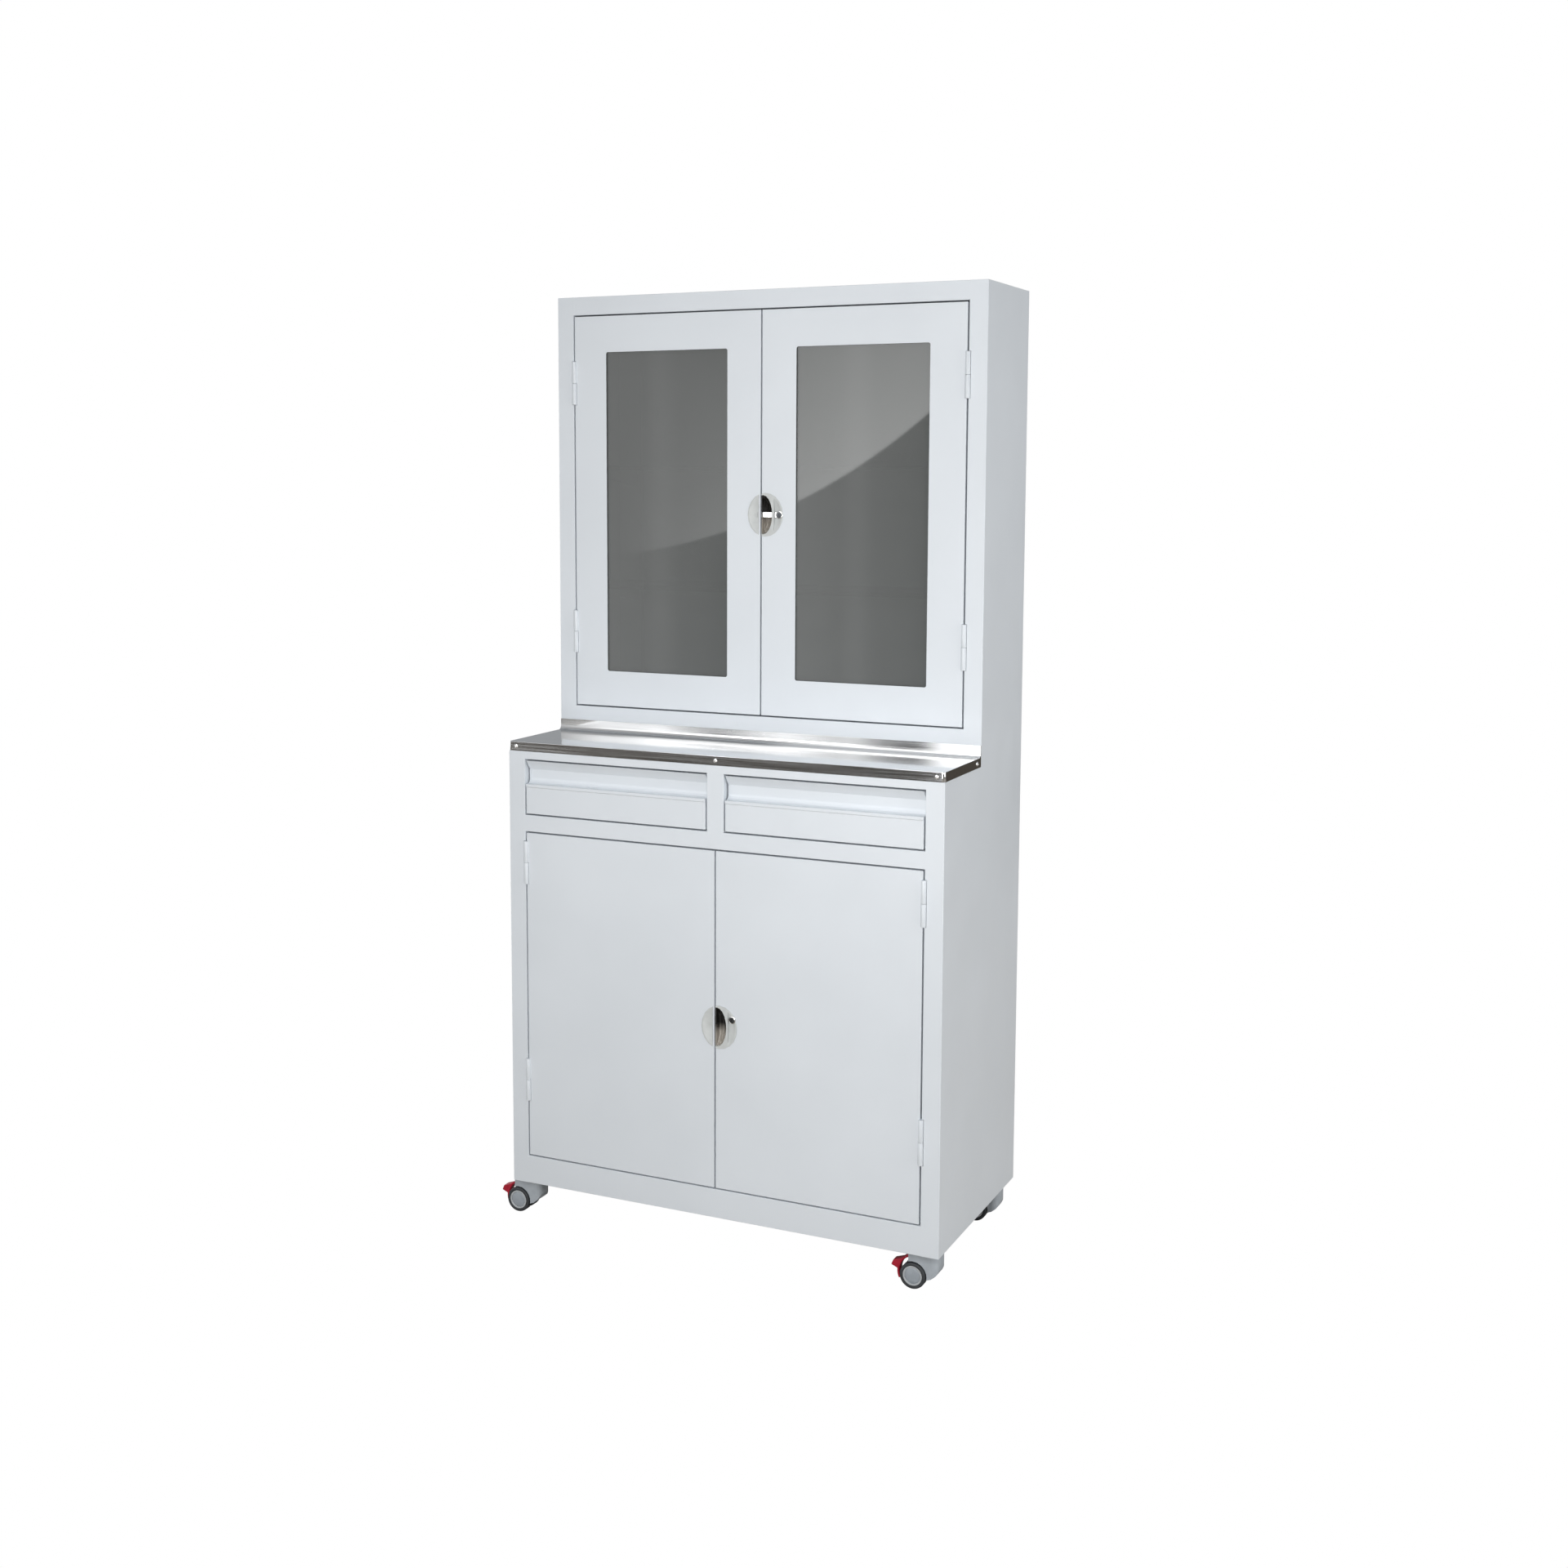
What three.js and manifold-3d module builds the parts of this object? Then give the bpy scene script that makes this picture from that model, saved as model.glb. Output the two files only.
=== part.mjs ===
// Glass door medical cabinet on casters: a folded steel base with two drawers and two doors, a stainless
// worktop, and a shallower hutch above it behind two glazed doors. Millimetres, +Z up, front towards -Y.
import * as THREE from "three";
import { mergeVertices } from "three/addons/utils/BufferGeometryUtils.js";
import Module from "manifold-3d";

// Overall sizes
const WIDTH = 900;
const BASE_DEPTH = 450;
const HUTCH_DEPTH = 250;
const CASTER_HEIGHT = 76;
const BASE_HEIGHT = 890;
const HUTCH_HEIGHT = 870;

// Folded sheet and the fits between pieces
const SHEET = 1.2;
const FIT_GAP = 0.3;
const REVEAL = 3;
const FRAME_RETURN = 22;
const REAR_RETURN = 15;
const OVERCUT = 1;

// Frame members as seen from the front
const STILE = 35.5;
const HUTCH_TOP_RAIL = 35.5;
const HUTCH_FOOT_RAIL = 50.5;
const DRAWER_TOP_RAIL = 15.5;
const DRAWER_OPENING = 110.5;
const MID_RAIL = 32.5;
const BASE_RAIL = 56;
const MULLION = 35;
const CASTER_FLANGE = 100;

// Worktop
const WORKTOP_SHEET = 1.5;
const WORKTOP_EDGE = 18;
const WORKTOP_CORNER = 6;
const UPSTAND_HEIGHT = 22;
const COVE_RADIUS = 9;

// Doors and glazing
const DOOR_DEPTH = 20;
const DOOR_LIP = 12;
const DOOR_BORDER = 71;
const WINDOW_CORNER = 4;
const PANE_THICKNESS = 4;
const PANE_LAP = 7;
const GASKET_LAP = 11;
const GASKET_DEPTH = 9;
const GASKET_NOSE = 2;

// Lift-off barrel hinges
const HINGE_LENGTH = 85;
const HINGE_RADIUS = 5;
const HINGE_PIN_RADIUS = 2.5;
const HINGE_CLEARANCE = 0.5;
const HINGE_LEAF_DEPTH = 18;
const UPPER_HINGE_FROM_TOP = 134;
const UPPER_HINGE_FROM_FOOT = 152;
const LOWER_HINGE_FROM_TOP = 62;
const LOWER_HINGE_FROM_FOOT = 157;

// Round two-part pulls and their locks
const PULL_WIDTH = 74;
const PULL_HEIGHT = 84;
const PULL_OFFSET = 9;
const PULL_FLANGE = 3;
const PULL_PROUD = 1;
const PULL_STRIP = 3;
const PULL_RIM = 27;
const DISH_DEPTH = 7;
const DISH_WALL = 1.5;
const LEFT_CUP_DEPTH = 12;
const RIGHT_CUP_DEPTH = 18;
const POCKET_CENTRE = 4;
const POCKET_WIDTH = 40;
const POCKET_HEIGHT = 76;
const POCKET_DEPTH = 14;
const LOWER_PULL_DROP = 11;
const PLUG_RADIUS = 5;
const PLUG_PROUD = 2.5;
const PLUG_LENGTH = 22;
const UPPER_PLUG = [39, 0];
const LOWER_PLUG = [36, 17];
const KEYWAY = [1.4, 6, 3];
const UPPER_BOLT_DEPTH = 2;
const LOWER_BOLT_DEPTH = 14;
const BOLT_THICKNESS = 3;
const BOLT_HEIGHT = 10;
const BOLT_THROW = 9;

// Drawers
const DRAWER_FRONT_DEPTH = 20;
const TROUGH_DEPTH = 14;
const TROUGH_SLOPE = 18;
const TROUGH_HEIGHT = 46;
const TROUGH_ROLL = 11;
const TROUGH_FACETS = 4;
const LIP_PROUD = 2;
const LIP_HEIGHT = 5;
const TRAY_SIDE_GAP = 6.5;
const TRAY_HEIGHT = 80;
const TRAY_DEPTH = 405;
const TRAY_FLOOR = 2.6;
const RUNNER_SHEET = 2;
const RUNNER_LEDGE = 12;
const RUNNER_HEIGHT = 30;

// Slotted columns, brackets and shelves
const COLUMN_INSET = 48;
const COLUMN_WIDTH = 24;
const COLUMN_DEPTH = 10;
const SLOT_PITCH = 60;
const SLOT_SIZE = [8, 14];
const FIRST_SLOT = 40;
const BRACKET_THICKNESS = 3;
const BRACKET_HEEL = 34;
const BRACKET_TOE = 10;
const BRACKET_TOE_GAP = 24;
const LOWER_SHELF_SLOT = 4;
const UPPER_SHELF_SLOT = 8;
const GLASS_SHELF_THICKNESS = 8;
const SHELF_SET_BACK = 40;
const BASE_SHELF_HEIGHT = 316;
const BASE_SHELF_EDGE = 25;
const BASE_SHELF_SET_BACK = 60;
const SHELF_RAIL = 22;

// Twin-wheel casters, which trail to the left
const CASTER_INSET = 26.5;
const CASTER_SET_BACK = 47;
const CASTER_TRAIL = 32;
const WHEEL_RADIUS = 25;
const WHEEL_OUTER_FACE = 24;
const WHEEL_INNER_FACE = 8.5;
const TYRE_INNER_RADIUS = 19;
const TYRE_CHAMFER = 2;
const HUB_SINK = 1;
const AXLE_RADIUS = 3;
const AXLE_CLEARANCE = 0.3;
const HOOD_HALF_WIDTH = 21;
const HOOD_NOSE = 18;
const HOOD_CORNER = 14;
const HOOD_BOSS = 9;
const HOOD_FOOT = 19;
const HOOD_TOP_GAP = 3;
const HOOD_WHEEL_GAP = 2;
const STEM_RADIUS = 5;
const STEM_TOP = 14;
const STEM_CLEARANCE = 0.4;
const PEDAL_HALF_WIDTH = 9;
const PEDAL_WHEEL_GAP = 6;
const PEDAL_THICKNESS = 4;
const PEDAL_PAD_REACH = 12;
const PEDAL_PAD_HEIGHTS = [8.4, 18];
const PEDAL_PIVOT = [-4, 37];
const PEDAL_KNUCKLE = 4;
const PEDAL_PIN_RADIUS = 2;
const PEDAL_PIN_REACH = 13;
const PEDAL_CLEARANCE = 0.5;
const PEDAL_SWING_GAP = 1.4;

// Spans of the brake pedal's arcs, in half turns: shoe, neck and pad about the axle, knuckle about its pin
const SHOE_SPAN = [0.62, 1.14];
const NECK_TURN = 0.68;
const PAD_SPAN = [0.76, 0.97];
const KNUCKLE_SPAN = [0.8, -0.4];

// Facets on round forms
const ROUND_FACETS = 20;
const HINGE_FACETS = 14;
const WHEEL_FACETS = 24;
const CORNER_FACETS = 4;

// Levels and planes that follow from the sizes above
const half = WIDTH / 2;
const hutchFront = BASE_DEPTH - HUTCH_DEPTH;
const carcassFoot = CASTER_HEIGHT;
const worktopTop = carcassFoot + BASE_HEIGHT;
const worktopFoot = worktopTop - WORKTOP_EDGE;
const cabinetTop = worktopTop + HUTCH_HEIGHT;
const openHalf = half - STILE;
const drawerTop = worktopFoot - DRAWER_TOP_RAIL;
const drawerFoot = drawerTop - DRAWER_OPENING;
const lowerTop = drawerFoot - MID_RAIL;
const lowerFoot = carcassFoot + BASE_RAIL;
const upperFoot = worktopTop + HUTCH_FOOT_RAIL;
const upperTop = cabinetTop - HUTCH_TOP_RAIL;
const insideHalf = half - SHEET - FIT_GAP;
const railHalf = openHalf - FIT_GAP;
const backRear = BASE_DEPTH - SHEET - FIT_GAP;
const backFront = backRear - SHEET;
const insideBack = backFront - FIT_GAP;
const behindFrame = FRAME_RETURN + FIT_GAP;
const doorEdge = REVEAL / 2;
const hingeX = openHalf - doorEdge;
const columnX = half - COLUMN_INSET;
const casterX = half - CASTER_INSET;
const pedalOuter = WHEEL_RADIUS + PEDAL_WHEEL_GAP + PEDAL_THICKNESS;
const leftReach = casterX + CASTER_TRAIL + pedalOuter + PEDAL_PAD_REACH;
const frontReach = HINGE_RADIUS;

const paint = { color: 0xd9dee0, roughness: 0.45, metalness: 0 };
const finishes = {
  paint: new THREE.MeshStandardMaterial(paint),
  stainless: new THREE.MeshStandardMaterial({ color: 0xb8b4b0, roughness: 0.2, metalness: 1 }),
  glass: new THREE.MeshStandardMaterial({
    color: 0x8c9390,
    roughness: 0.05,
    transparent: true,
    opacity: 0.4,
  }),
  rubber: new THREE.MeshStandardMaterial({ color: 0x2c2e30, roughness: 0.8 }),
  zinc: new THREE.MeshStandardMaterial({ color: 0xc4c6c8, roughness: 0.35, metalness: 1 }),
  greyPlastic: new THREE.MeshStandardMaterial({ color: 0xb9bdbd, roughness: 0.5 }),
  hoodPlastic: new THREE.MeshStandardMaterial({ color: 0x8f9498, roughness: 0.5 }),
  tyre: new THREE.MeshStandardMaterial({ color: 0x232629, roughness: 0.7 }),
  redPlastic: new THREE.MeshStandardMaterial({ color: 0xb0182e, roughness: 0.45 }),
};

const wasm = await Module();
wasm.setup();

// Turns a closed three.js geometry into a solid that can be joined and cut
function toSolid(geometry) {
  const bare = new THREE.BufferGeometry();
  bare.setAttribute("position", geometry.getAttribute("position"));
  bare.setIndex(geometry.index);
  const merged = mergeVertices(bare, 1e-4);
  const corners = merged.index.array;
  const kept = [];
  for (let i = 0; i < corners.length; i += 3) {
    const [a, b, c] = [corners[i], corners[i + 1], corners[i + 2]];
    if (a !== b && b !== c && c !== a) kept.push(a, b, c);
  }
  const vertProperties = merged.getAttribute("position").array;
  return new wasm.Manifold(new wasm.Mesh({ numProp: 3, vertProperties, triVerts: new Uint32Array(kept) }));
}

function block([x0, x1], [y0, y1], [z0, z1]) {
  const box = new THREE.BoxGeometry(x1 - x0, y1 - y0, z1 - z0);
  return toSolid(box.translate((x0 + x1) / 2, (y0 + y1) / 2, (z0 + z1) / 2));
}

// Extrudes an outline between two stations of an axis. Outlines are drawn in (y, z) for axis x,
// in (x, z) for axis y and in (x, y) for axis z. Each arc of the outline gets the given number of facets.
function prism(axis, outline, from, to, facets = CORNER_FACETS) {
  const asShape = (points) => new THREE.Shape(points.map(([a, b]) => new THREE.Vector2(a, b)));
  const shape = Array.isArray(outline) ? asShape(outline) : outline;
  const settings = { depth: to - from, bevelEnabled: false, curveSegments: facets / 2 };
  const bar = new THREE.ExtrudeGeometry(shape, settings);
  const [X, Y, Z] = [new THREE.Vector3(1, 0, 0), new THREE.Vector3(0, 1, 0), new THREE.Vector3(0, 0, 1)];
  const turn = new THREE.Matrix4();
  if (axis === "x") turn.makeBasis(Y, Z, X).setPosition(from, 0, 0);
  if (axis === "y") turn.makeBasis(X, Z, Y.clone().negate()).setPosition(0, to, 0);
  if (axis === "z") turn.setPosition(0, 0, from);
  return toSolid(bar.applyMatrix4(turn));
}

function rod(axis, [a, b], radius, from, to, facets = ROUND_FACETS) {
  const circle = new THREE.Shape().absarc(a, b, radius, 0, Math.PI * 2);
  return prism(axis, circle, from, to, facets);
}

// Rectangle with rounded corners; one radius for each corner, from the low corner anticlockwise
function roundedRectangle([a0, a1], [b0, b1], radii) {
  const [r0, r1, r2, r3] = radii;
  const shape = new THREE.Shape();
  shape.moveTo(a0 + r0, b0);
  shape.lineTo(a1 - r1, b0);
  if (r1) shape.absarc(a1 - r1, b0 + r1, r1, -Math.PI / 2, 0);
  shape.lineTo(a1, b1 - r2);
  if (r2) shape.absarc(a1 - r2, b1 - r2, r2, 0, Math.PI / 2);
  shape.lineTo(a0 + r3, b1);
  if (r3) shape.absarc(a0 + r3, b1 - r3, r3, Math.PI / 2, Math.PI);
  shape.lineTo(a0, b0 + r0);
  if (r0) shape.absarc(a0 + r0, b0 + r0, r0, Math.PI, Math.PI * 1.5);
  return shape;
}

// The inner face of a sheet folded along a line of points. A positive thickness lies left of the line,
// a negative one right of it, and each fold is mitred.
function innerFace(line, thickness) {
  const points = line.map(([a, b]) => new THREE.Vector2(a, b));
  const normals = points.slice(1).map((p, i) => {
    const run = p.clone().sub(points[i]).normalize();
    return new THREE.Vector2(-run.y, run.x);
  });
  return points.map((p, i) => {
    const before = normals[Math.max(i - 1, 0)];
    const after = normals[Math.min(i, normals.length - 1)];
    const mitre = before.clone().add(after).divideScalar(1 + before.dot(after));
    return p.clone().addScaledVector(mitre, thickness).toArray();
  });
}

// Closed outline of a sheet folded along a line of points
const folded = (line, thickness) => [...line, ...innerFace(line, thickness).reverse()];

const join = (first, ...rest) => rest.reduce((whole, piece) => whole.add(piece), first);
const cut = (first, ...rest) => rest.reduce((whole, tool) => whole.subtract(tool), first);

// The frame's origin is under the middle of the whole object, with its trailing casters, on the floor
const cabinet = new THREE.Group();
cabinet.position.set((leftReach - half) / 2, -(BASE_DEPTH - frontReach) / 2, 0);

function addPiece(name, solid, material) {
  const made = solid.getMesh();
  const geometry = new THREE.BufferGeometry();
  const positions = new Float32Array(made.vertProperties);
  geometry.setAttribute("position", new THREE.BufferAttribute(positions, 3));
  geometry.setIndex(new THREE.BufferAttribute(new Uint32Array(made.triVerts), 1));
  geometry.computeVertexNormals();
  const piece = new THREE.Mesh(geometry, material);
  piece.name = name;
  cabinet.add(piece);
}

// The four doors: which side they hang on, their front plane, their opening and their hinges' heights
const doors = [];
for (const [level, front, foot, top, fromFoot, fromTop] of [
  ["upper", hutchFront, upperFoot, upperTop, UPPER_HINGE_FROM_FOOT, UPPER_HINGE_FROM_TOP],
  ["lower", 0, lowerFoot, lowerTop, LOWER_HINGE_FROM_FOOT, LOWER_HINGE_FROM_TOP],
]) {
  const drop = level === "lower" ? LOWER_PULL_DROP : 0;
  const plug = level === "lower" ? LOWER_PLUG : UPPER_PLUG;
  const boltDepth = level === "lower" ? LOWER_BOLT_DEPTH : UPPER_BOLT_DEPTH;
  for (const [hand, side] of [["left", -1], ["right", 1]]) {
    doors.push({
      level, hand, side, front, plug, boltDepth,
      foot: foot + REVEAL,
      top: top - REVEAL,
      pullZ: (foot + top) / 2 - drop,
      hinges: [["bottom", foot + fromFoot], ["top", top - fromTop]],
    });
  }
}

// A span of x on one side of the middle plane, given by its distances from that plane
const across = (side, near, far) => (side < 0 ? [-far, -near] : [near, far]);

// Room round a hinge barrel, cut from the frame over its whole length and from the door over its lower half
function hingeRoom(door, z, from, to) {
  const reach = HINGE_RADIUS + HINGE_CLEARANCE;
  return rod("z", [door.side * hingeX, door.front], reach, z + from, z + to, HINGE_FACETS);
}

// Side panel: one L-shaped sheet whose front edges fold in as the stiles of base and hutch
function sidePanel(side) {
  const plan = (front) => [
    [side * openHalf, front + FRAME_RETURN],
    [side * openHalf, front],
    [side * half, front],
    [side * half, BASE_DEPTH],
    [side * (half - REAR_RETURN), BASE_DEPTH],
  ];
  const base = prism("z", folded(plan(0), side * SHEET), carcassFoot, worktopFoot - FIT_GAP);
  const hutch = prism("z", folded(plan(hutchFront), side * SHEET), worktopFoot - WORKTOP_EDGE, cabinetTop);
  const reach = HINGE_LENGTH / 2 + HINGE_CLEARANCE;
  const rooms = doors
    .filter((door) => door.side === side)
    .flatMap((door) => door.hinges.map(([, z]) => hingeRoom(door, z, -reach, reach)));
  const lid = block(
    across(side, openHalf - FIT_GAP, half - SHEET),
    [hutchFront + SHEET, BASE_DEPTH + OVERCUT],
    [cabinetTop - SHEET - FIT_GAP, cabinetTop + OVERCUT],
  );
  return cut(join(base, hutch), lid, ...rooms);
}

// Back sheet with a slotted hat-section column near each side for the shelf brackets
function backPanel() {
  const foot = lowerFoot + FIT_GAP;
  const top = cabinetTop - SHEET - FIT_GAP;
  let panel = block([-insideHalf, insideHalf], [backFront, backRear], [foot, top]);
  for (const side of [-1, 1]) {
    const plan = [
      [side * columnX - COLUMN_WIDTH / 2, backFront + SHEET / 2],
      [side * columnX - COLUMN_WIDTH / 2, backFront - COLUMN_DEPTH],
      [side * columnX + COLUMN_WIDTH / 2, backFront - COLUMN_DEPTH],
      [side * columnX + COLUMN_WIDTH / 2, backFront + SHEET / 2],
    ];
    panel = panel.add(prism("z", folded(plan, SHEET), upperFoot + FIT_GAP, top));
    for (let z = upperFoot + FIRST_SLOT; z < top - FIRST_SLOT; z += SLOT_PITCH) {
      const width = [side * columnX - SLOT_SIZE[0] / 2, side * columnX + SLOT_SIZE[0] / 2];
      const depth = [backFront - COLUMN_DEPTH - FIT_GAP, backFront - COLUMN_DEPTH + SHEET + FIT_GAP];
      panel = panel.subtract(block(width, depth, [z - SLOT_SIZE[1] / 2, z + SLOT_SIZE[1] / 2]));
    }
  }
  return panel;
}

// Top sheet of the hutch, folded down in front as the rail over the doors
function topPanel() {
  const rail = [
    [hutchFront + FRAME_RETURN, upperTop],
    [hutchFront, upperTop],
    [hutchFront, cabinetTop],
    [hutchFront + behindFrame, cabinetTop],
  ];
  const depth = [hutchFront + SHEET + FIT_GAP, BASE_DEPTH];
  const sheet = block([-insideHalf, insideHalf], depth, [cabinetTop - SHEET, cabinetTop]);
  return join(prism("x", folded(rail, -SHEET), -railHalf, railHalf), sheet);
}

// Floor of the hutch, folded down in front as the rail behind the worktop's upstand
function hutchFloor() {
  const foot = worktopTop + FIT_GAP;
  const rail = [
    [hutchFront + behindFrame, upperFoot],
    [hutchFront, upperFoot],
    [hutchFront, foot],
    [hutchFront + FRAME_RETURN, foot],
  ];
  const thick = [upperFoot - SHEET, upperFoot];
  return join(
    prism("x", folded(rail, SHEET), -railHalf, railHalf),
    block([-railHalf, railHalf], [hutchFront + SHEET, hutchFront + behindFrame + SHEET], thick),
    block([-insideHalf, insideHalf], [hutchFront + behindFrame, insideBack], thick),
  );
}

// Floor of the base: a pan with a deep front rail, a rear wall and flanges that carry the casters
function baseFloor() {
  const rail = [
    [CASTER_FLANGE, carcassFoot],
    [0, carcassFoot],
    [0, lowerFoot],
    [behindFrame + SHEET, lowerFoot],
  ];
  const rear = [
    [behindFrame, lowerFoot],
    [backRear, lowerFoot],
    [backRear, carcassFoot],
    [backRear - CASTER_FLANGE, carcassFoot],
  ];
  let pan = join(
    prism("x", folded(rail, -SHEET), -railHalf, railHalf),
    prism("x", folded(rear, -SHEET), -insideHalf, insideHalf),
    block([-insideHalf, insideHalf], [behindFrame, CASTER_FLANGE], [carcassFoot, carcassFoot + SHEET]),
  );
  for (const { x, y } of casters) {
    const hole = STEM_RADIUS + STEM_CLEARANCE;
    pan = pan.subtract(rod("z", [x, y], hole, carcassFoot - OVERCUT, carcassFoot + SHEET + OVERCUT));
  }
  return pan;
}

// Worktop: a stainless tray turned down at front and ends, with a coved upstand against the hutch
function worktop() {
  const rear = hutchFront - FIT_GAP;
  const corners = [WORKTOP_CORNER, WORKTOP_CORNER, 0, 0];
  const inner = Math.max(WORKTOP_CORNER - WORKTOP_SHEET, 0);
  const outline = roundedRectangle([-half, half], [0, rear], corners);
  const inside = roundedRectangle(
    [-half + WORKTOP_SHEET, half - WORKTOP_SHEET],
    [WORKTOP_SHEET, rear - WORKTOP_SHEET],
    [inner, inner, 0, 0],
  );
  const tray = cut(
    prism("z", outline, worktopFoot, worktopTop),
    prism("z", inside, worktopFoot - WORKTOP_SHEET, worktopTop - WORKTOP_SHEET),
  );
  const cove = new THREE.Shape();
  cove.moveTo(rear, worktopTop - WORKTOP_SHEET / 2);
  cove.lineTo(rear, worktopTop + UPSTAND_HEIGHT);
  cove.lineTo(rear - WORKTOP_SHEET, worktopTop + UPSTAND_HEIGHT);
  cove.lineTo(rear - WORKTOP_SHEET, worktopTop + COVE_RADIUS);
  const centre = [rear - WORKTOP_SHEET - COVE_RADIUS, worktopTop + COVE_RADIUS];
  cove.absarc(...centre, COVE_RADIUS, 0, -Math.PI / 2, true);
  cove.lineTo(rear - WORKTOP_SHEET - COVE_RADIUS, worktopTop - WORKTOP_SHEET / 2);
  return join(tray, prism("x", cove, -half, half));
}

// Channel-section rails between the stiles, open to the back
function channelRail(foot, top) {
  const section = [
    [FRAME_RETURN, foot],
    [0, foot],
    [0, top],
    [FRAME_RETURN, top],
  ];
  return prism("x", folded(section, -SHEET), -railHalf, railHalf);
}

function mullion() {
  const plan = [
    [-MULLION / 2, FRAME_RETURN],
    [-MULLION / 2, 0],
    [MULLION / 2, 0],
    [MULLION / 2, FRAME_RETURN],
  ];
  return prism("z", folded(plan, SHEET), drawerFoot + FIT_GAP, drawerTop - FIT_GAP);
}

const slotHeight = (slot) => upperFoot + FIRST_SLOT + (slot - 1) * SLOT_PITCH;
const bracketFront = hutchFront + SHELF_SET_BACK + BRACKET_TOE_GAP;
const columnFace = backFront - COLUMN_DEPTH;

// Tapered shelf bracket with a tongue that hooks into a slot of its column
function shelfBracket(side, slot) {
  const z = slotHeight(slot);
  const top = z + BRACKET_HEEL / 2;
  const heel = columnFace - FIT_GAP;
  const arm = [
    [heel, top - BRACKET_HEEL],
    [heel, top],
    [bracketFront, top],
    [bracketFront, top - BRACKET_TOE],
  ];
  const x = [side * columnX - BRACKET_THICKNESS / 2, side * columnX + BRACKET_THICKNESS / 2];
  const tongueHalf = SLOT_SIZE[1] / 2 - FIT_GAP;
  const tongue = [heel - BRACKET_THICKNESS, columnFace + COLUMN_DEPTH / 2];
  return join(prism("x", arm, ...x), block(x, tongue, [z - tongueHalf, z + tongueHalf]));
}

function glassShelf(slot) {
  const foot = slotHeight(slot) + BRACKET_HEEL / 2 + FIT_GAP;
  const width = [-insideHalf + FIT_GAP, insideHalf - FIT_GAP];
  const depth = [hutchFront + SHELF_SET_BACK, columnFace - FIT_GAP];
  return block(width, depth, [foot, foot + GLASS_SHELF_THICKNESS]);
}

const baseShelfTop = lowerFoot + BASE_SHELF_HEIGHT;

// Steel shelf of the base, with its front and rear edges folded down
function baseShelf() {
  const section = [
    [BASE_SHELF_SET_BACK, baseShelfTop - BASE_SHELF_EDGE],
    [BASE_SHELF_SET_BACK, baseShelfTop],
    [insideBack, baseShelfTop],
    [insideBack, baseShelfTop - BASE_SHELF_EDGE],
  ];
  return prism("x", folded(section, -SHEET), -insideHalf + FIT_GAP, insideHalf - FIT_GAP);
}

function baseShelfRail(side) {
  const top = baseShelfTop - SHEET - FIT_GAP;
  const section = [
    [side * insideHalf, top - SHELF_RAIL],
    [side * insideHalf, top],
    [side * (insideHalf - SHELF_RAIL), top],
  ];
  const rear = insideBack - SHEET - FIT_GAP;
  return prism("y", folded(section, side * SHEET), BASE_SHELF_SET_BACK + SHEET + FIT_GAP, rear);
}

// Drawer runners: angles on the side panels and a tee in the middle, with ledges under the trays
const trayEdge = TRAY_SIDE_GAP;
const ledgeTop = drawerFoot + TRAY_FLOOR - FIT_GAP;

function sideRunner(side) {
  const reach = openHalf - trayEdge - RUNNER_LEDGE;
  const section = [
    [side * insideHalf, ledgeTop + RUNNER_HEIGHT],
    [side * insideHalf, ledgeTop - RUNNER_SHEET],
    [side * reach, ledgeTop - RUNNER_SHEET],
  ];
  return prism("y", folded(section, -side * RUNNER_SHEET), behindFrame, insideBack);
}

function centreRunner() {
  const reach = MULLION / 2 + trayEdge + RUNNER_LEDGE;
  const ledge = block([-reach, reach], [behindFrame, insideBack], [ledgeTop - RUNNER_SHEET, ledgeTop]);
  const web = [ledgeTop - RUNNER_SHEET, ledgeTop + RUNNER_HEIGHT];
  return ledge.add(block([-RUNNER_SHEET / 2, RUNNER_SHEET / 2], [behindFrame, insideBack], web));
}

// Drawer front: a sheet drawn in as a finger trough, with a rolled lip below it, and closed ends
function drawerFront([x0, x1]) {
  const foot = drawerFoot + REVEAL;
  const top = drawerTop - REVEAL;
  const lipTop = top - TROUGH_HEIGHT;
  const face = [
    [DRAWER_FRONT_DEPTH, top],
    [0, top],
    [TROUGH_DEPTH, top - TROUGH_SLOPE],
  ];
  for (let step = 0; step <= TROUGH_FACETS; step += 1) {
    const turn = (step / TROUGH_FACETS) * (Math.PI / 2);
    const y = TROUGH_DEPTH - TROUGH_ROLL * (1 - Math.cos(turn));
    face.push([y, lipTop + TROUGH_ROLL * (1 - Math.sin(turn))]);
  }
  face.push(
    [-LIP_PROUD, lipTop],
    [-LIP_PROUD, lipTop - LIP_HEIGHT],
    [0, lipTop - LIP_HEIGHT - LIP_PROUD],
    [0, foot],
    [DRAWER_FRONT_DEPTH, foot],
  );
  const hollow = innerFace(face, SHEET);
  const behind = DRAWER_FRONT_DEPTH + OVERCUT;
  hollow.unshift([behind, hollow[0][1]]);
  hollow.push([behind, hollow[hollow.length - 1][1]]);
  return cut(prism("x", face, x0, x1), prism("x", hollow, x0 + SHEET, x1 - SHEET));
}

function drawerTray([x0, x1]) {
  const front = DRAWER_FRONT_DEPTH + FIT_GAP;
  const foot = drawerFoot + TRAY_FLOOR;
  const shell = block([x0, x1], [front, front + TRAY_DEPTH], [foot, foot + TRAY_HEIGHT]);
  const hollow = block(
    [x0 + SHEET, x1 - SHEET],
    [front + SHEET, front + TRAY_DEPTH - SHEET],
    [foot + SHEET, foot + TRAY_HEIGHT + SHEET],
  );
  return shell.subtract(hollow);
}

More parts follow.
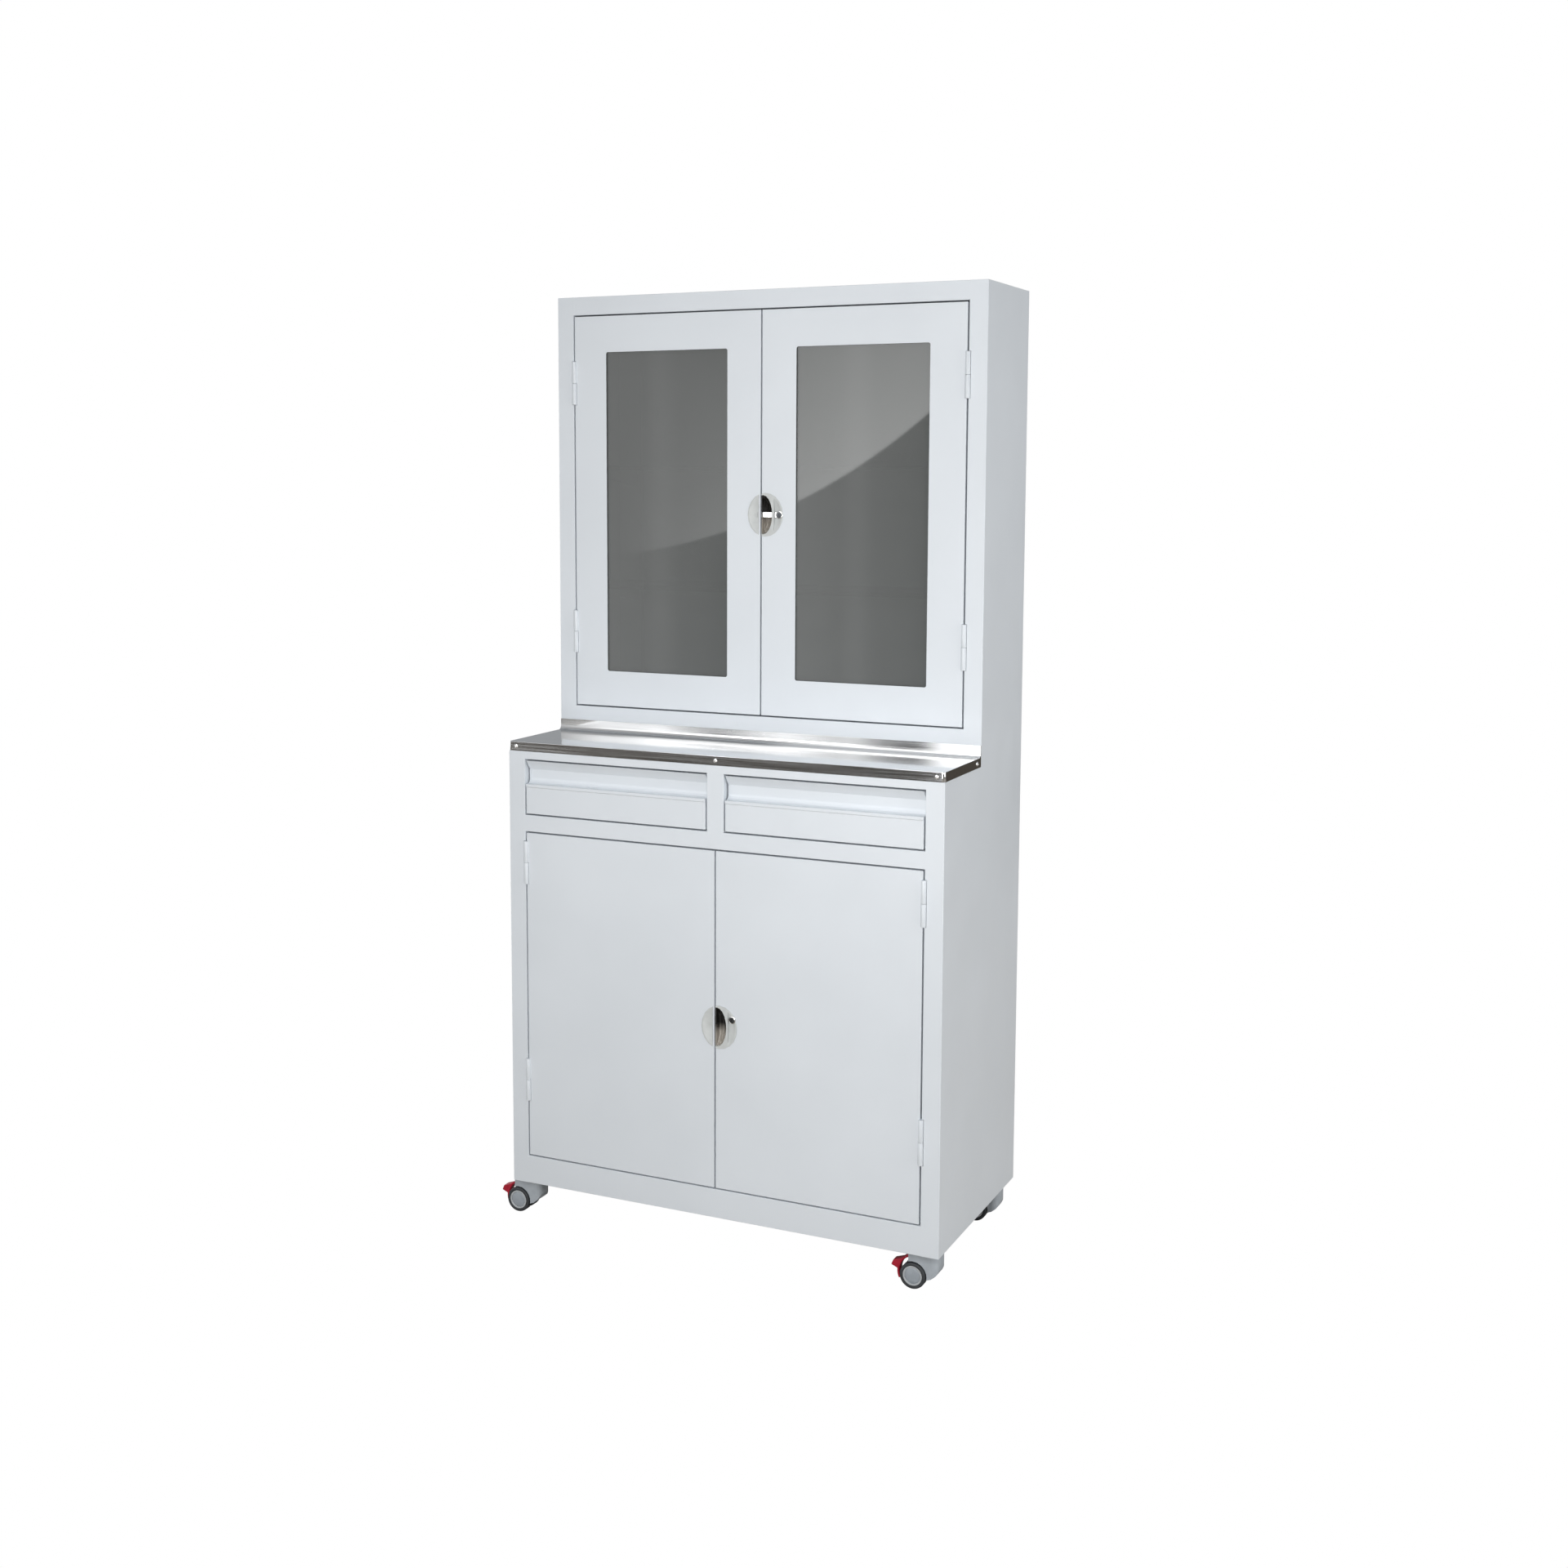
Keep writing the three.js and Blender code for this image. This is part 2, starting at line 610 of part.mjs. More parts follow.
// Clear opening of a glazed door, grown by a lap on every side
function windowSpan(door, lap) {
  const near = doorEdge + DOOR_BORDER - lap;
  const far = openHalf - REVEAL - DOOR_BORDER + lap;
  return [across(door.side, near, far), [door.foot + DOOR_BORDER - lap, door.top - DOOR_BORDER + lap]];
}

function windowTool(door, lap, [from, to]) {
  const [x, z] = windowSpan(door, lap);
  const corner = WINDOW_CORNER;
  return prism("y", roundedRectangle(x, z, [corner, corner, corner, corner]), from, to);
}

// Elliptical outline of the pull, drawn in by a margin
function pullOutline(door, inset) {
  const shape = new THREE.Shape();
  shape.absellipse(PULL_OFFSET, door.pullZ, PULL_WIDTH / 2 - inset, PULL_HEIGHT / 2 - inset, 0, Math.PI * 2);
  return shape;
}

// Hollow of the finger pocket, open towards the meeting edge
function pocketTool(door) {
  const hollow = new THREE.SphereGeometry(1, ROUND_FACETS, ROUND_FACETS / 2);
  hollow.scale(POCKET_WIDTH / 2, POCKET_DEPTH + PULL_PROUD, POCKET_HEIGHT / 2);
  return toSolid(hollow.translate(POCKET_CENTRE, door.front - PULL_PROUD, door.pullZ));
}

// Room for the lock bolt, grown by the fit on every side
function boltRoom(door, x) {
  const z = door.pullZ + door.plug[1];
  const y = door.front + door.boltDepth;
  const depth = [y - FIT_GAP, y + BOLT_THICKNESS + FIT_GAP];
  return block(x, depth, [z - BOLT_HEIGHT / 2 - FIT_GAP, z + BOLT_HEIGHT / 2 + FIT_GAP]);
}

// Room for the lock plug, through the pull and the door's sheet
function plugRoom(door) {
  const [x, z] = door.plug;
  const reach = RIGHT_CUP_DEPTH + OVERCUT;
  return rod("y", [x, door.pullZ + z], PLUG_RADIUS + FIT_GAP, door.front - PLUG_PROUD, door.front + reach);
}

const stripInside = doorEdge + PULL_STRIP;
const keeperReach = BOLT_THROW + FIT_GAP;

// Door pan: a sheet folded back on four sides with a lip, cut for its pull, its window and its hinges
function doorPan(door) {
  const { side, front, foot, top } = door;
  const x = across(side, doorEdge, openHalf - REVEAL);
  const grown = (by) => [x[0] - by, x[1] + by];
  const rear = front + DOOR_DEPTH;
  let pan = block(x, [front, rear], [foot, top]);
  pan = pan.subtract(block(grown(-SHEET), [front + SHEET, rear - SHEET], [foot + SHEET, top - SHEET]));
  const lipSpan = [foot + DOOR_LIP, top - DOOR_LIP];
  pan = pan.subtract(block(grown(-DOOR_LIP), [front + SHEET, rear + OVERCUT], lipSpan));
  const through = [front - OVERCUT, front + SHEET + OVERCUT];
  if (door.level === "upper") pan = pan.subtract(windowTool(door, 0, through));
  const hole = prism("y", pullOutline(door, PULL_FLANGE - FIT_GAP), ...through, ROUND_FACETS);
  const beside = across(side, side < 0 ? stripInside : doorEdge + SHEET, openHalf);
  pan = pan.subtract(hole.intersect(block(beside, [front - OVERCUT * 2, rear], [foot, top])));
  const lockCuts = [boltRoom(door, [-stripInside, stripInside])];
  if (side > 0) lockCuts.push(pocketTool(door), plugRoom(door));
  pan = cut(pan, ...lockCuts);
  for (const [, z] of door.hinges) {
    const length = HINGE_LENGTH / 2;
    const bore = HINGE_PIN_RADIUS + HINGE_CLEARANCE;
    const axis = [side * hingeX, front];
    pan = pan.subtract(hingeRoom(door, z, -length - HINGE_CLEARANCE, HINGE_CLEARANCE));
    pan = pan.add(rod("z", axis, HINGE_RADIUS, z + FIT_GAP, z + length, HINGE_FACETS));
    pan = pan.subtract(rod("z", axis, bore, z - length, z + length + OVERCUT, HINGE_FACETS));
  }
  return pan;
}

// Frame half of a hinge: knuckle, pin and the leaf that is welded to the stile
function hingeFrameHalf(door, z) {
  const axis = [door.side * hingeX, door.front];
  const length = HINGE_LENGTH / 2;
  const leaf = across(door.side, hingeX + FIT_GAP, openHalf - FIT_GAP);
  return join(
    rod("z", axis, HINGE_RADIUS, z - length, z - FIT_GAP, HINGE_FACETS),
    rod("z", axis, HINGE_PIN_RADIUS, z - length / 2, z + length - FIT_GAP, HINGE_FACETS),
    block(leaf, [door.front, door.front + HINGE_LEAF_DEPTH], [z - length, z - FIT_GAP]),
  );
}

function pane(door) {
  const [x, z] = windowSpan(door, PANE_LAP);
  const y = door.front + SHEET + FIT_GAP + (GASKET_DEPTH - PANE_THICKNESS) / 2;
  return block(x, [y, y + PANE_THICKNESS], z);
}

// Rubber gasket with a groove that grips the edge of the pane
function gasket(door) {
  const from = door.front + SHEET + FIT_GAP;
  const ring = cut(
    windowTool(door, GASKET_LAP, [from, from + GASKET_DEPTH]),
    windowTool(door, GASKET_NOSE, [from - OVERCUT, from + GASKET_DEPTH + OVERCUT]),
  );
  const [x, z] = windowSpan(door, PANE_LAP + FIT_GAP);
  const y = from + (GASKET_DEPTH - PANE_THICKNESS) / 2;
  return ring.subtract(block(x, [y - FIT_GAP, y + PANE_THICKNESS + FIT_GAP], z));
}

// Half of the oval pull: a flange over the door's sheet and a cup behind it, with a shallow dish.
// The right half also has the finger pocket and the lock's bores, the left half the keeper slot.
function pullHalf(door) {
  const { side, front, pullZ } = door;
  const face = front - PULL_PROUD;
  const rear = front + (side < 0 ? LEFT_CUP_DEPTH : RIGHT_CUP_DEPTH);
  const tall = [pullZ - PULL_HEIGHT, pullZ + PULL_HEIGHT];
  const within = (near) => block(across(side, near, openHalf), [face - DISH_DEPTH, rear + OVERCUT], tall);
  const flangeEdge = side < 0 ? stripInside : doorEdge;
  const cupEdge = side < 0 ? stripInside + FIT_GAP : doorEdge + SHEET + FIT_GAP;
  const flange = prism("y", pullOutline(door, 0), face, front - FIT_GAP, ROUND_FACETS);
  const cup = prism("y", pullOutline(door, PULL_FLANGE), face, rear, ROUND_FACETS);
  const rim = PULL_HEIGHT / 2 - PULL_FLANGE;
  const radius = (rim ** 2 + DISH_DEPTH ** 2) / (2 * DISH_DEPTH);
  const ball = new THREE.SphereGeometry(radius, ROUND_FACETS * 2, ROUND_FACETS * 2);
  ball.rotateX(Math.PI / 2).scale(PULL_WIDTH / PULL_HEIGHT, 1, 1);
  ball.translate(PULL_OFFSET, face - radius + DISH_DEPTH, pullZ);
  const dish = toSolid(ball).intersect(within(side < 0 ? stripInside + DISH_WALL : PULL_RIM));
  const plain = cut(flange.intersect(within(flangeEdge)).add(cup.intersect(within(cupEdge))), dish);
  if (side < 0) return plain.subtract(boltRoom(door, [-keeperReach, 0]));
  return cut(plain, pocketTool(door), plugRoom(door), boltRoom(door, [0, door.plug[0]]));
}

// Lock plug, turned by a key, with its keyway
function lockPlug(door) {
  const [plugX, plugZ] = door.plug;
  const z = door.pullZ + plugZ;
  const face = door.front - PLUG_PROUD;
  const body = rod("y", [plugX, z], PLUG_RADIUS, face, face + PLUG_LENGTH);
  const [width, height, depth] = KEYWAY;
  const slot = [plugX - width / 2, plugX + width / 2];
  return body.subtract(block(slot, [face - OVERCUT, face + depth], [z - height / 2, z + height / 2]));
}

// Lock bolt, drawn back clear of the meeting edge, with a bevelled nose
function lockBolt(door) {
  const [plugX, plugZ] = door.plug;
  const z = door.pullZ + plugZ;
  const y = door.front + door.boltDepth;
  const tip = doorEdge + FIT_GAP;
  const plan = [
    [tip, y],
    [plugX - PLUG_RADIUS - FIT_GAP, y],
    [plugX - PLUG_RADIUS - FIT_GAP, y + BOLT_THICKNESS],
    [tip + BOLT_THICKNESS, y + BOLT_THICKNESS],
  ];
  return prism("z", plan, z - BOLT_HEIGHT / 2, z + BOLT_HEIGHT / 2);
}

// Casters: where they swivel, and which of them have a brake pedal
const casters = [];
for (const [row, y, braked] of [
  ["front", CASTER_SET_BACK, true],
  ["rear", BASE_DEPTH - CASTER_SET_BACK, false],
]) {
  for (const [hand, side] of [["left", -1], ["right", 1]]) {
    casters.push({ name: `${row}_${hand}`, x: side * casterX, y, braked });
  }
}

// Twin wheels on one axle, turned as one profile from the outer hub to the middle and back
function wheelPair({ x, y }) {
  const tread = [
    [0, WHEEL_OUTER_FACE - HUB_SINK / 2],
    [TYRE_INNER_RADIUS - HUB_SINK, WHEEL_OUTER_FACE - HUB_SINK],
    [TYRE_INNER_RADIUS, WHEEL_OUTER_FACE - TYRE_CHAMFER],
    [TYRE_INNER_RADIUS + HUB_SINK, WHEEL_OUTER_FACE],
    [WHEEL_RADIUS - TYRE_CHAMFER, WHEEL_OUTER_FACE],
    [WHEEL_RADIUS, WHEEL_OUTER_FACE - TYRE_CHAMFER],
    [WHEEL_RADIUS, WHEEL_INNER_FACE],
    [AXLE_RADIUS, WHEEL_INNER_FACE],
  ];
  const mirrored = tread.map(([r, w]) => [r, -w]).reverse();
  const profile = [...tread, ...mirrored].reverse().map(([r, w]) => new THREE.Vector2(r, w));
  const spool = new THREE.LatheGeometry(profile, WHEEL_FACETS);
  return toSolid(spool.translate(x - CASTER_TRAIL, y, WHEEL_RADIUS));
}

// Hood: a moulded body with a rounded nose under the stem, hollowed round both wheels
function casterHood({ x, y, braked }) {
  const axle = [x - CASTER_TRAIL, WHEEL_RADIUS];
  const top = carcassFoot - HOOD_TOP_GAP;
  const back = axle[0] - HOOD_BOSS;
  const nose = x + HOOD_NOSE;
  const side = new THREE.Shape();
  side.moveTo(back, top);
  side.lineTo(back, WHEEL_RADIUS);
  side.absarc(axle[0], axle[1], HOOD_BOSS, Math.PI, Math.PI * 1.5);
  side.lineTo(x - HOOD_NOSE / 2, HOOD_FOOT);
  side.quadraticCurveTo(nose, WHEEL_RADIUS, nose, WHEEL_RADIUS * 2);
  side.lineTo(nose, top);
  const plan = roundedRectangle(
    [back - OVERCUT, nose],
    [y - HOOD_HALF_WIDTH, y + HOOD_HALF_WIDTH],
    [0, HOOD_CORNER, HOOD_CORNER, 0],
  );
  const body = prism("y", side, y - HOOD_HALF_WIDTH, y + HOOD_HALF_WIDTH, CORNER_FACETS * 2);
  const room = WHEEL_RADIUS + HOOD_WHEEL_GAP;
  const web = WHEEL_INNER_FACE - HOOD_WHEEL_GAP;
  const reach = HOOD_HALF_WIDTH + HOOD_WHEEL_GAP;
  const stem = rod("z", [x, y], STEM_RADIUS, top - HOOD_TOP_GAP, carcassFoot + STEM_TOP);
  const hood = cut(
    body.intersect(prism("z", plan, 0, top, CORNER_FACETS * 2)),
    rod("y", axle, room, y + web, y + reach, WHEEL_FACETS),
    rod("y", axle, room, y - reach, y - web, WHEEL_FACETS),
    rod("y", axle, AXLE_RADIUS + AXLE_CLEARANCE, y - web - OVERCUT, y + web + OVERCUT),
  ).add(stem);
  if (!braked) return hood;
  const [pivotX, pivotZ] = [axle[0] + PEDAL_PIVOT[0], axle[1] + PEDAL_PIVOT[1]];
  const swing = PEDAL_KNUCKLE + PEDAL_SWING_GAP;
  const slot = PEDAL_HALF_WIDTH + PEDAL_CLEARANCE;
  const pin = PEDAL_PIN_REACH + PEDAL_CLEARANCE;
  return cut(
    hood,
    block([back - OVERCUT, pivotX + PEDAL_CLEARANCE], [y - slot, y + slot], [axle[1] + room, pivotZ + swing]),
    rod("y", [pivotX, pivotZ], swing, y - slot, y + slot),
    rod("y", [pivotX, pivotZ], PEDAL_PIN_RADIUS + PEDAL_CLEARANCE, y - pin, y + pin),
  );
}

// Brake pedal: a shoe behind the wheels with a foot pad, hung in the hood on its own pin
function brakePedal({ x, y }) {
  const [cx, cz] = [x - CASTER_TRAIL, WHEEL_RADIUS];
  const [pivotX, pivotZ] = [cx + PEDAL_PIVOT[0], cz + PEDAL_PIVOT[1]];
  const inner = pedalOuter - PEDAL_THICKNESS;
  const [top, foot] = SHOE_SPAN.map((turn) => turn * Math.PI);
  const [shoulder, pad] = PAD_SPAN.map((turn) => turn * Math.PI);
  const [knuckleFrom, knuckleTo] = KNUCKLE_SPAN.map((turn) => turn * Math.PI);
  const tip = cx - pedalOuter - PEDAL_PAD_REACH;
  const shoe = new THREE.Shape();
  shoe.absarc(cx, cz, inner, top, foot, false);
  shoe.absarc(cx, cz, pedalOuter, foot, pad, true);
  shoe.lineTo(tip, cz + PEDAL_PAD_HEIGHTS[0]);
  shoe.lineTo(tip + PEDAL_THICKNESS, cz + PEDAL_PAD_HEIGHTS[1]);
  shoe.absarc(cx, cz, pedalOuter, shoulder, NECK_TURN * Math.PI, true);
  shoe.absarc(pivotX, pivotZ, PEDAL_KNUCKLE, knuckleFrom, knuckleTo, true);
  return join(
    prism("y", shoe, y - PEDAL_HALF_WIDTH, y + PEDAL_HALF_WIDTH, CORNER_FACETS * 2),
    rod("y", [pivotX, pivotZ], PEDAL_PIN_RADIUS, y - PEDAL_PIN_REACH, y + PEDAL_PIN_REACH, HINGE_FACETS),
  );
}

// Carcass
addPiece("side_panel_left", sidePanel(-1), finishes.paint);
addPiece("side_panel_right", sidePanel(1), finishes.paint);
addPiece("back_panel", backPanel(), finishes.paint);
addPiece("top_panel", topPanel(), finishes.paint);
addPiece("hutch_floor", hutchFloor(), finishes.paint);
addPiece("base_floor", baseFloor(), finishes.paint);
addPiece("worktop", worktop(), finishes.stainless);
addPiece("drawer_top_rail", channelRail(drawerTop, worktopFoot - FIT_GAP), finishes.paint);
addPiece("mid_rail", channelRail(lowerTop, drawerFoot), finishes.paint);
addPiece("drawer_mullion", mullion(), finishes.paint);

// Shelves
for (const [level, slot] of [["lower", LOWER_SHELF_SLOT], ["upper", UPPER_SHELF_SLOT]]) {
  addPiece(`glass_shelf_${level}`, glassShelf(slot), finishes.glass);
  addPiece(`shelf_bracket_${level}_left`, shelfBracket(-1, slot), finishes.paint);
  addPiece(`shelf_bracket_${level}_right`, shelfBracket(1, slot), finishes.paint);
}
addPiece("base_shelf", baseShelf(), finishes.paint);
addPiece("base_shelf_rail_left", baseShelfRail(-1), finishes.paint);
addPiece("base_shelf_rail_right", baseShelfRail(1), finishes.paint);

// Drawers
addPiece("drawer_runner_left", sideRunner(-1), finishes.zinc);
addPiece("drawer_runner_right", sideRunner(1), finishes.zinc);
addPiece("drawer_runner_centre", centreRunner(), finishes.zinc);
for (const [hand, side] of [["left", -1], ["right", 1]]) {
  const front = across(side, MULLION / 2 + REVEAL, openHalf - REVEAL);
  const tray = across(side, MULLION / 2 + trayEdge, openHalf - trayEdge);
  addPiece(`drawer_front_${hand}`, drawerFront(front), finishes.paint);
  addPiece(`drawer_tray_${hand}`, drawerTray(tray), finishes.paint);
}

// Doors, glazing, hinges, pulls and locks
for (const door of doors) {
  const place = `${door.level}_${door.hand}`;
  addPiece(`${place}_door`, doorPan(door), finishes.paint);
  addPiece(`${place}_pull`, pullHalf(door), finishes.greyPlastic);
  for (const [height, z] of door.hinges) {
    addPiece(`${place}_hinge_${height}`, hingeFrameHalf(door, z), finishes.paint);
  }
  if (door.level === "upper") {
    addPiece(`${place}_pane`, pane(door), finishes.glass);
    addPiece(`${place}_gasket`, gasket(door), finishes.rubber);
  }
  if (door.side > 0) {
    addPiece(`${door.level}_lock_plug`, lockPlug(door), finishes.zinc);
    addPiece(`${door.level}_lock_bolt`, lockBolt(door), finishes.zinc);
  }
}

// Casters
for (const caster of casters) {
  addPiece(`caster_hood_${caster.name}`, casterHood(caster), finishes.hoodPlastic);
  addPiece(`caster_wheels_${caster.name}`, wheelPair(caster), finishes.tyre);
  if (caster.braked) addPiece(`brake_pedal_${caster.name}`, brakePedal(caster), finishes.redPlastic);
}

const model = new THREE.Group();
model.add(cabinet);

export default model;
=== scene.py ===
"""Glass door medical cabinet on casters: finishes, softened folds, small fittings, stage and camera."""
import math

import bmesh
import bpy
from mathutils import Matrix, Vector


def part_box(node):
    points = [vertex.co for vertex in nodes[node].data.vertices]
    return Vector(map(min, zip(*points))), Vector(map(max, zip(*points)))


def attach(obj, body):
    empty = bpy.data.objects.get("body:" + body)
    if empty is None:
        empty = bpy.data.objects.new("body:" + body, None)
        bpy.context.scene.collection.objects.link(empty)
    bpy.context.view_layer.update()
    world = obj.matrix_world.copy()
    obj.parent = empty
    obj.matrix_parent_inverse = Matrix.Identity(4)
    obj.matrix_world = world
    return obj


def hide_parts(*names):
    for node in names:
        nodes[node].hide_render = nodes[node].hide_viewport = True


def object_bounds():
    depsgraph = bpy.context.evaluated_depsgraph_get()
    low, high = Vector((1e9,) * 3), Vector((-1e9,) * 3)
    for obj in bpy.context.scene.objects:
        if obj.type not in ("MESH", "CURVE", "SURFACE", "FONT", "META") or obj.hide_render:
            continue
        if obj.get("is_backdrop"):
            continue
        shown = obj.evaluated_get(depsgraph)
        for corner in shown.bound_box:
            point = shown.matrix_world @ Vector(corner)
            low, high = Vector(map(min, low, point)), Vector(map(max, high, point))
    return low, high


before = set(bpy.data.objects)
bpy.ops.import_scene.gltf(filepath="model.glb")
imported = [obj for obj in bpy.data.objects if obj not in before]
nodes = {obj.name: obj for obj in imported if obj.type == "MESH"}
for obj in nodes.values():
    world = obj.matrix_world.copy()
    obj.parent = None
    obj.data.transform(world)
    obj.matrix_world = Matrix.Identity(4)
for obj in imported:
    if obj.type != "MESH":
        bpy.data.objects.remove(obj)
cad_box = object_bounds()

MM = 0.001
HANDS = ("left", "right")
LEVELS = ("upper", "lower")
CASTERS = ("front_left", "front_right", "rear_left", "rear_right")

# Folds of the sheet metal, edges of sheets and mouldings
FOLD_RADIUS = 0.9 * MM
DOOR_FOLD = 0.5 * MM
CUT_EDGE = 0.2 * MM
MOULDED_EDGE = 0.8 * MM
PEDAL_EDGE = 1.3 * MM
FOLD_STEPS = 4
EDGE_STEPS = 2

# What counts as a fold, a sharp edge, a rounded form and a plane
FOLD_FACE = 6 * MM
FOLD_ANGLE = math.radians(60)
SHARP_ANGLE = math.radians(35)
SHALLOW_ANGLE = math.radians(2)
MERGED_ANGLE = math.radians(1)
FLAT_ANGLE = math.radians(0.5)
PLANE_AREA = 400 * MM * MM

# Metres within which points count as one, a point lies on a line and a length counts as none
SAME_POINT = 1e-5
SAME_CORNER = 1e-6
ON_LINE = 2e-5
NO_WIDTH = 1e-6
NO_LENGTH = 1e-9
END_SHARE = 0.001

# Lining of the finger pocket: half sizes of the hollow, distances from the meeting plane, thickness of its
# sheet, room left for the bolt, degrees of latitude of its rows, steps of each row, and the heights from its
# middle between which its colour goes from painted shade at the top to a painted lighter foot
POCKET_HALF = (19.7 * MM, 14.7 * MM, 37.7 * MM)
POCKET_CENTRE = 4 * MM
POCKET_WALL = 1.8 * MM
POCKET_SHEET = 0.3 * MM
BOLT_ROOM = 0.5 * MM
POCKET_LATITUDE = 84
POCKET_ROW = 4
POCKET_STEPS = 28
PAINTED_SHADE_REACH = (-12 * MM, 6 * MM)

# Ground welds of the front frame
WELD_REACH = 2.5 * MM
WELD_SKIN = (0.1 * MM, 0.3 * MM)

# Screws of the worktop's edge and rivets of the back
SCREW_HEAD = 4.2 * MM
SCREW_RISE = 2.0 * MM
SCREW_RECESS = (4.6 * MM, 1.2 * MM)
SCREW_ABOVE_RAIL = 9 * MM
FRONT_SCREWS = 3
EDGE_SCREW_INSET = 16 * MM
END_SCREW_FROM_REAR = 22 * MM
RIVET_HEAD = 4.0 * MM
RIVET_RISE = 1.3 * MM
RIVET_BORE = 1.6 * MM
RIVET_COUNT = 11
RIVET_INSET = 7.5 * MM
RIVET_FROM_END = 25 * MM
HEAD_SEGMENTS = 28
HEAD_RINGS = 14
BORE_SIDES = 16
# The dome is turned and the second bar of a cross cuts deeper, so that no cut runs along a facet or a floor
DOME_TURN = math.radians(5)
SECOND_BAR = 1.06

# Ring round the lock plug: how far it stands behind the plug's face, its room, and its profile in mm, as
# distances from the bore and stations along the axis
RING_SET_BACK = 1.5 * MM
PLUG_ROOM = 0.25 * MM
PLUG_RING = ((0.0, 0.3), (0.0, -0.7), (0.4, -1.0), (1.2, -0.9), (1.9, -0.3), (2.0, 0.3))

# Hood of a caster: stem above it, gap under the carcass, darker band at its top, swivel axis behind its nose
HOOD_STEM = 14 * MM
HOOD_GAP = 3 * MM
HOOD_DARK_BAND = 5 * MM
HOOD_DARK_BAND_EDGE = 0.4 * MM
HOOD_NOSE = 18 * MM

# Bearing cup of a caster: radii, heights above the hood and the air left under the carcass
CUP_BORE = 5.2 * MM
CUP_FLANGE = 17 * MM
CUP_SHOULDER = 15.5 * MM
CUP_NECK = 13 * MM
CUP_FOOT = 0.05 * MM
CUP_FLANGE_TOP = 0.6 * MM
CUP_SHOULDER_TOP = 1.2 * MM
CUP_AIR = 0.4 * MM

# Wheels of the casters, and the steps of all turned pieces and of the tyres' roundings
WHEEL_INNER_FACE = 8.5 * MM
AXLE_RADIUS = 3 * MM
TYRE_SHOULDER = 3.2 * MM
TYRE_HEEL = 1 * MM
HUB_RADIUS = 18.6 * MM
HUB_CAP_RADIUS = 15.2 * MM
HUB_FIT = 0.1 * MM
HUB_RING_SINK = 0.5 * MM
HUB_CAP_SINK = 0.2 * MM
HUB_DOME = (0.6, 0.9 * MM, 0.6 * MM)
TURNED_STEPS = 72
SHOULDER_STEPS = 6
HEEL_STEPS = 3
# Steps of a wheel's outer side in mm: distance out from a radius, distance in from the outer face
TYRE_SEAT = ((0.0, 1.2), (0.6, 0.3))
HUB_RING_RIM = ((-0.1, 1.0), (-0.7, 0.6))
HUB_RING_STEP = ((0.8, 0.7), (0.0, 1.8))
HUB_CAP_RIM = ((-0.1, 2.0), (-0.9, 1.4))

# Glass: share mirrored straight on, and drift of the veil
FACE_MIRROR = 0.04
VEIL_DRIFT = 0.03


# Small helpers

def colour(code):
    """sRGB hex to a linear colour."""
    channels = [int(code[i:i + 2], 16) / 255 for i in (1, 3, 5)]
    linear = [c / 12.92 if c <= 0.04045 else ((c + 0.055) / 1.055) ** 2.4 for c in channels]
    return (*linear, 1.0)


def add_node(tree, kind, values=None, links=None, **settings):
    """Adds a node with its settings, the values of its inputs and the links into them."""
    node = tree.nodes.new(kind)
    for name, value in settings.items():
        setattr(node, name, value)
    for name, value in (values or {}).items():
        node.inputs[name].default_value = value
    for name, source in (links or {}).items():
        tree.links.new(source, node.inputs[name])
    return node


def new_material(name):
    """An empty node material and its tree."""
    made = bpy.data.materials.new(name)
    made.use_nodes = True
    made.node_tree.nodes.clear()
    return made, made.node_tree


def close_material(tree, shader):
    """Links a shader to the material's surface."""
    add_node(tree, "ShaderNodeOutputMaterial", links={"Surface": shader.outputs[0]})


def per_metre(size_mm):
    """Texture scale whose features have the given size."""
    return 1000 / size_mm


def two_tones(tree, factor, dark, pale, low=0.35, high=0.65):
    """A ramp between two sRGB colours."""
    ramp = add_node(tree, "ShaderNodeValToRGB", links={"Fac": factor})
    ramp.color_ramp.elements[0].position = low
    ramp.color_ramp.elements[0].color = colour(dark)
    ramp.color_ramp.elements[1].position = high
    ramp.color_ramp.elements[1].color = colour(pale)
    return ramp.outputs["Color"]


def spread(tree, factor, low, high):
    """Maps the middle range of a texture, where most of it lies, to a range of values."""
    values = {"From Min": 0.3, "From Max": 0.7, "To Min": low, "To Max": high}
    return add_node(tree, "ShaderNodeMapRange", values, {"Value": factor}).outputs["Result"]


# Finishes

def powder_coat(name, dark, pale):
    """Polyester powder coat on steel, sprayed and baked: an even cool half-gloss skin with orange peel,
    a slow drift of tone and faintly wiped patches."""
    made, tree = new_material(name)
    place = add_node(tree, "ShaderNodeTexCoord").outputs["Object"]
    drift = add_node(tree, "ShaderNodeTexNoise", {"Scale": per_metre(380), "Detail": 3.0}, {"Vector": place})
    wiped = add_node(tree, "ShaderNodeTexNoise", {"Scale": per_metre(70), "Detail": 5.0}, {"Vector": place})
    # Real orange peel is about 1.5 mm across; it is drawn at 4 mm so that it shows
    peel = add_node(tree, "ShaderNodeTexNoise", {"Scale": per_metre(4), "Detail": 2.0}, {"Vector": place})
    relief = add_node(
        tree, "ShaderNodeBump", {"Strength": 0.18, "Distance": 0.12 * MM}, {"Height": peel.outputs["Fac"]}
    )
    shader = add_node(
        tree,
        "ShaderNodeBsdfPrincipled",
        {"IOR": 1.5},
        {
            "Base Color": two_tones(tree, drift.outputs["Fac"], dark, pale),
            "Roughness": spread(tree, wiped.outputs["Fac"], 0.30, 0.42),
            "Normal": relief.outputs["Normal"],
        },
    )
    close_material(tree, shader)
    return made


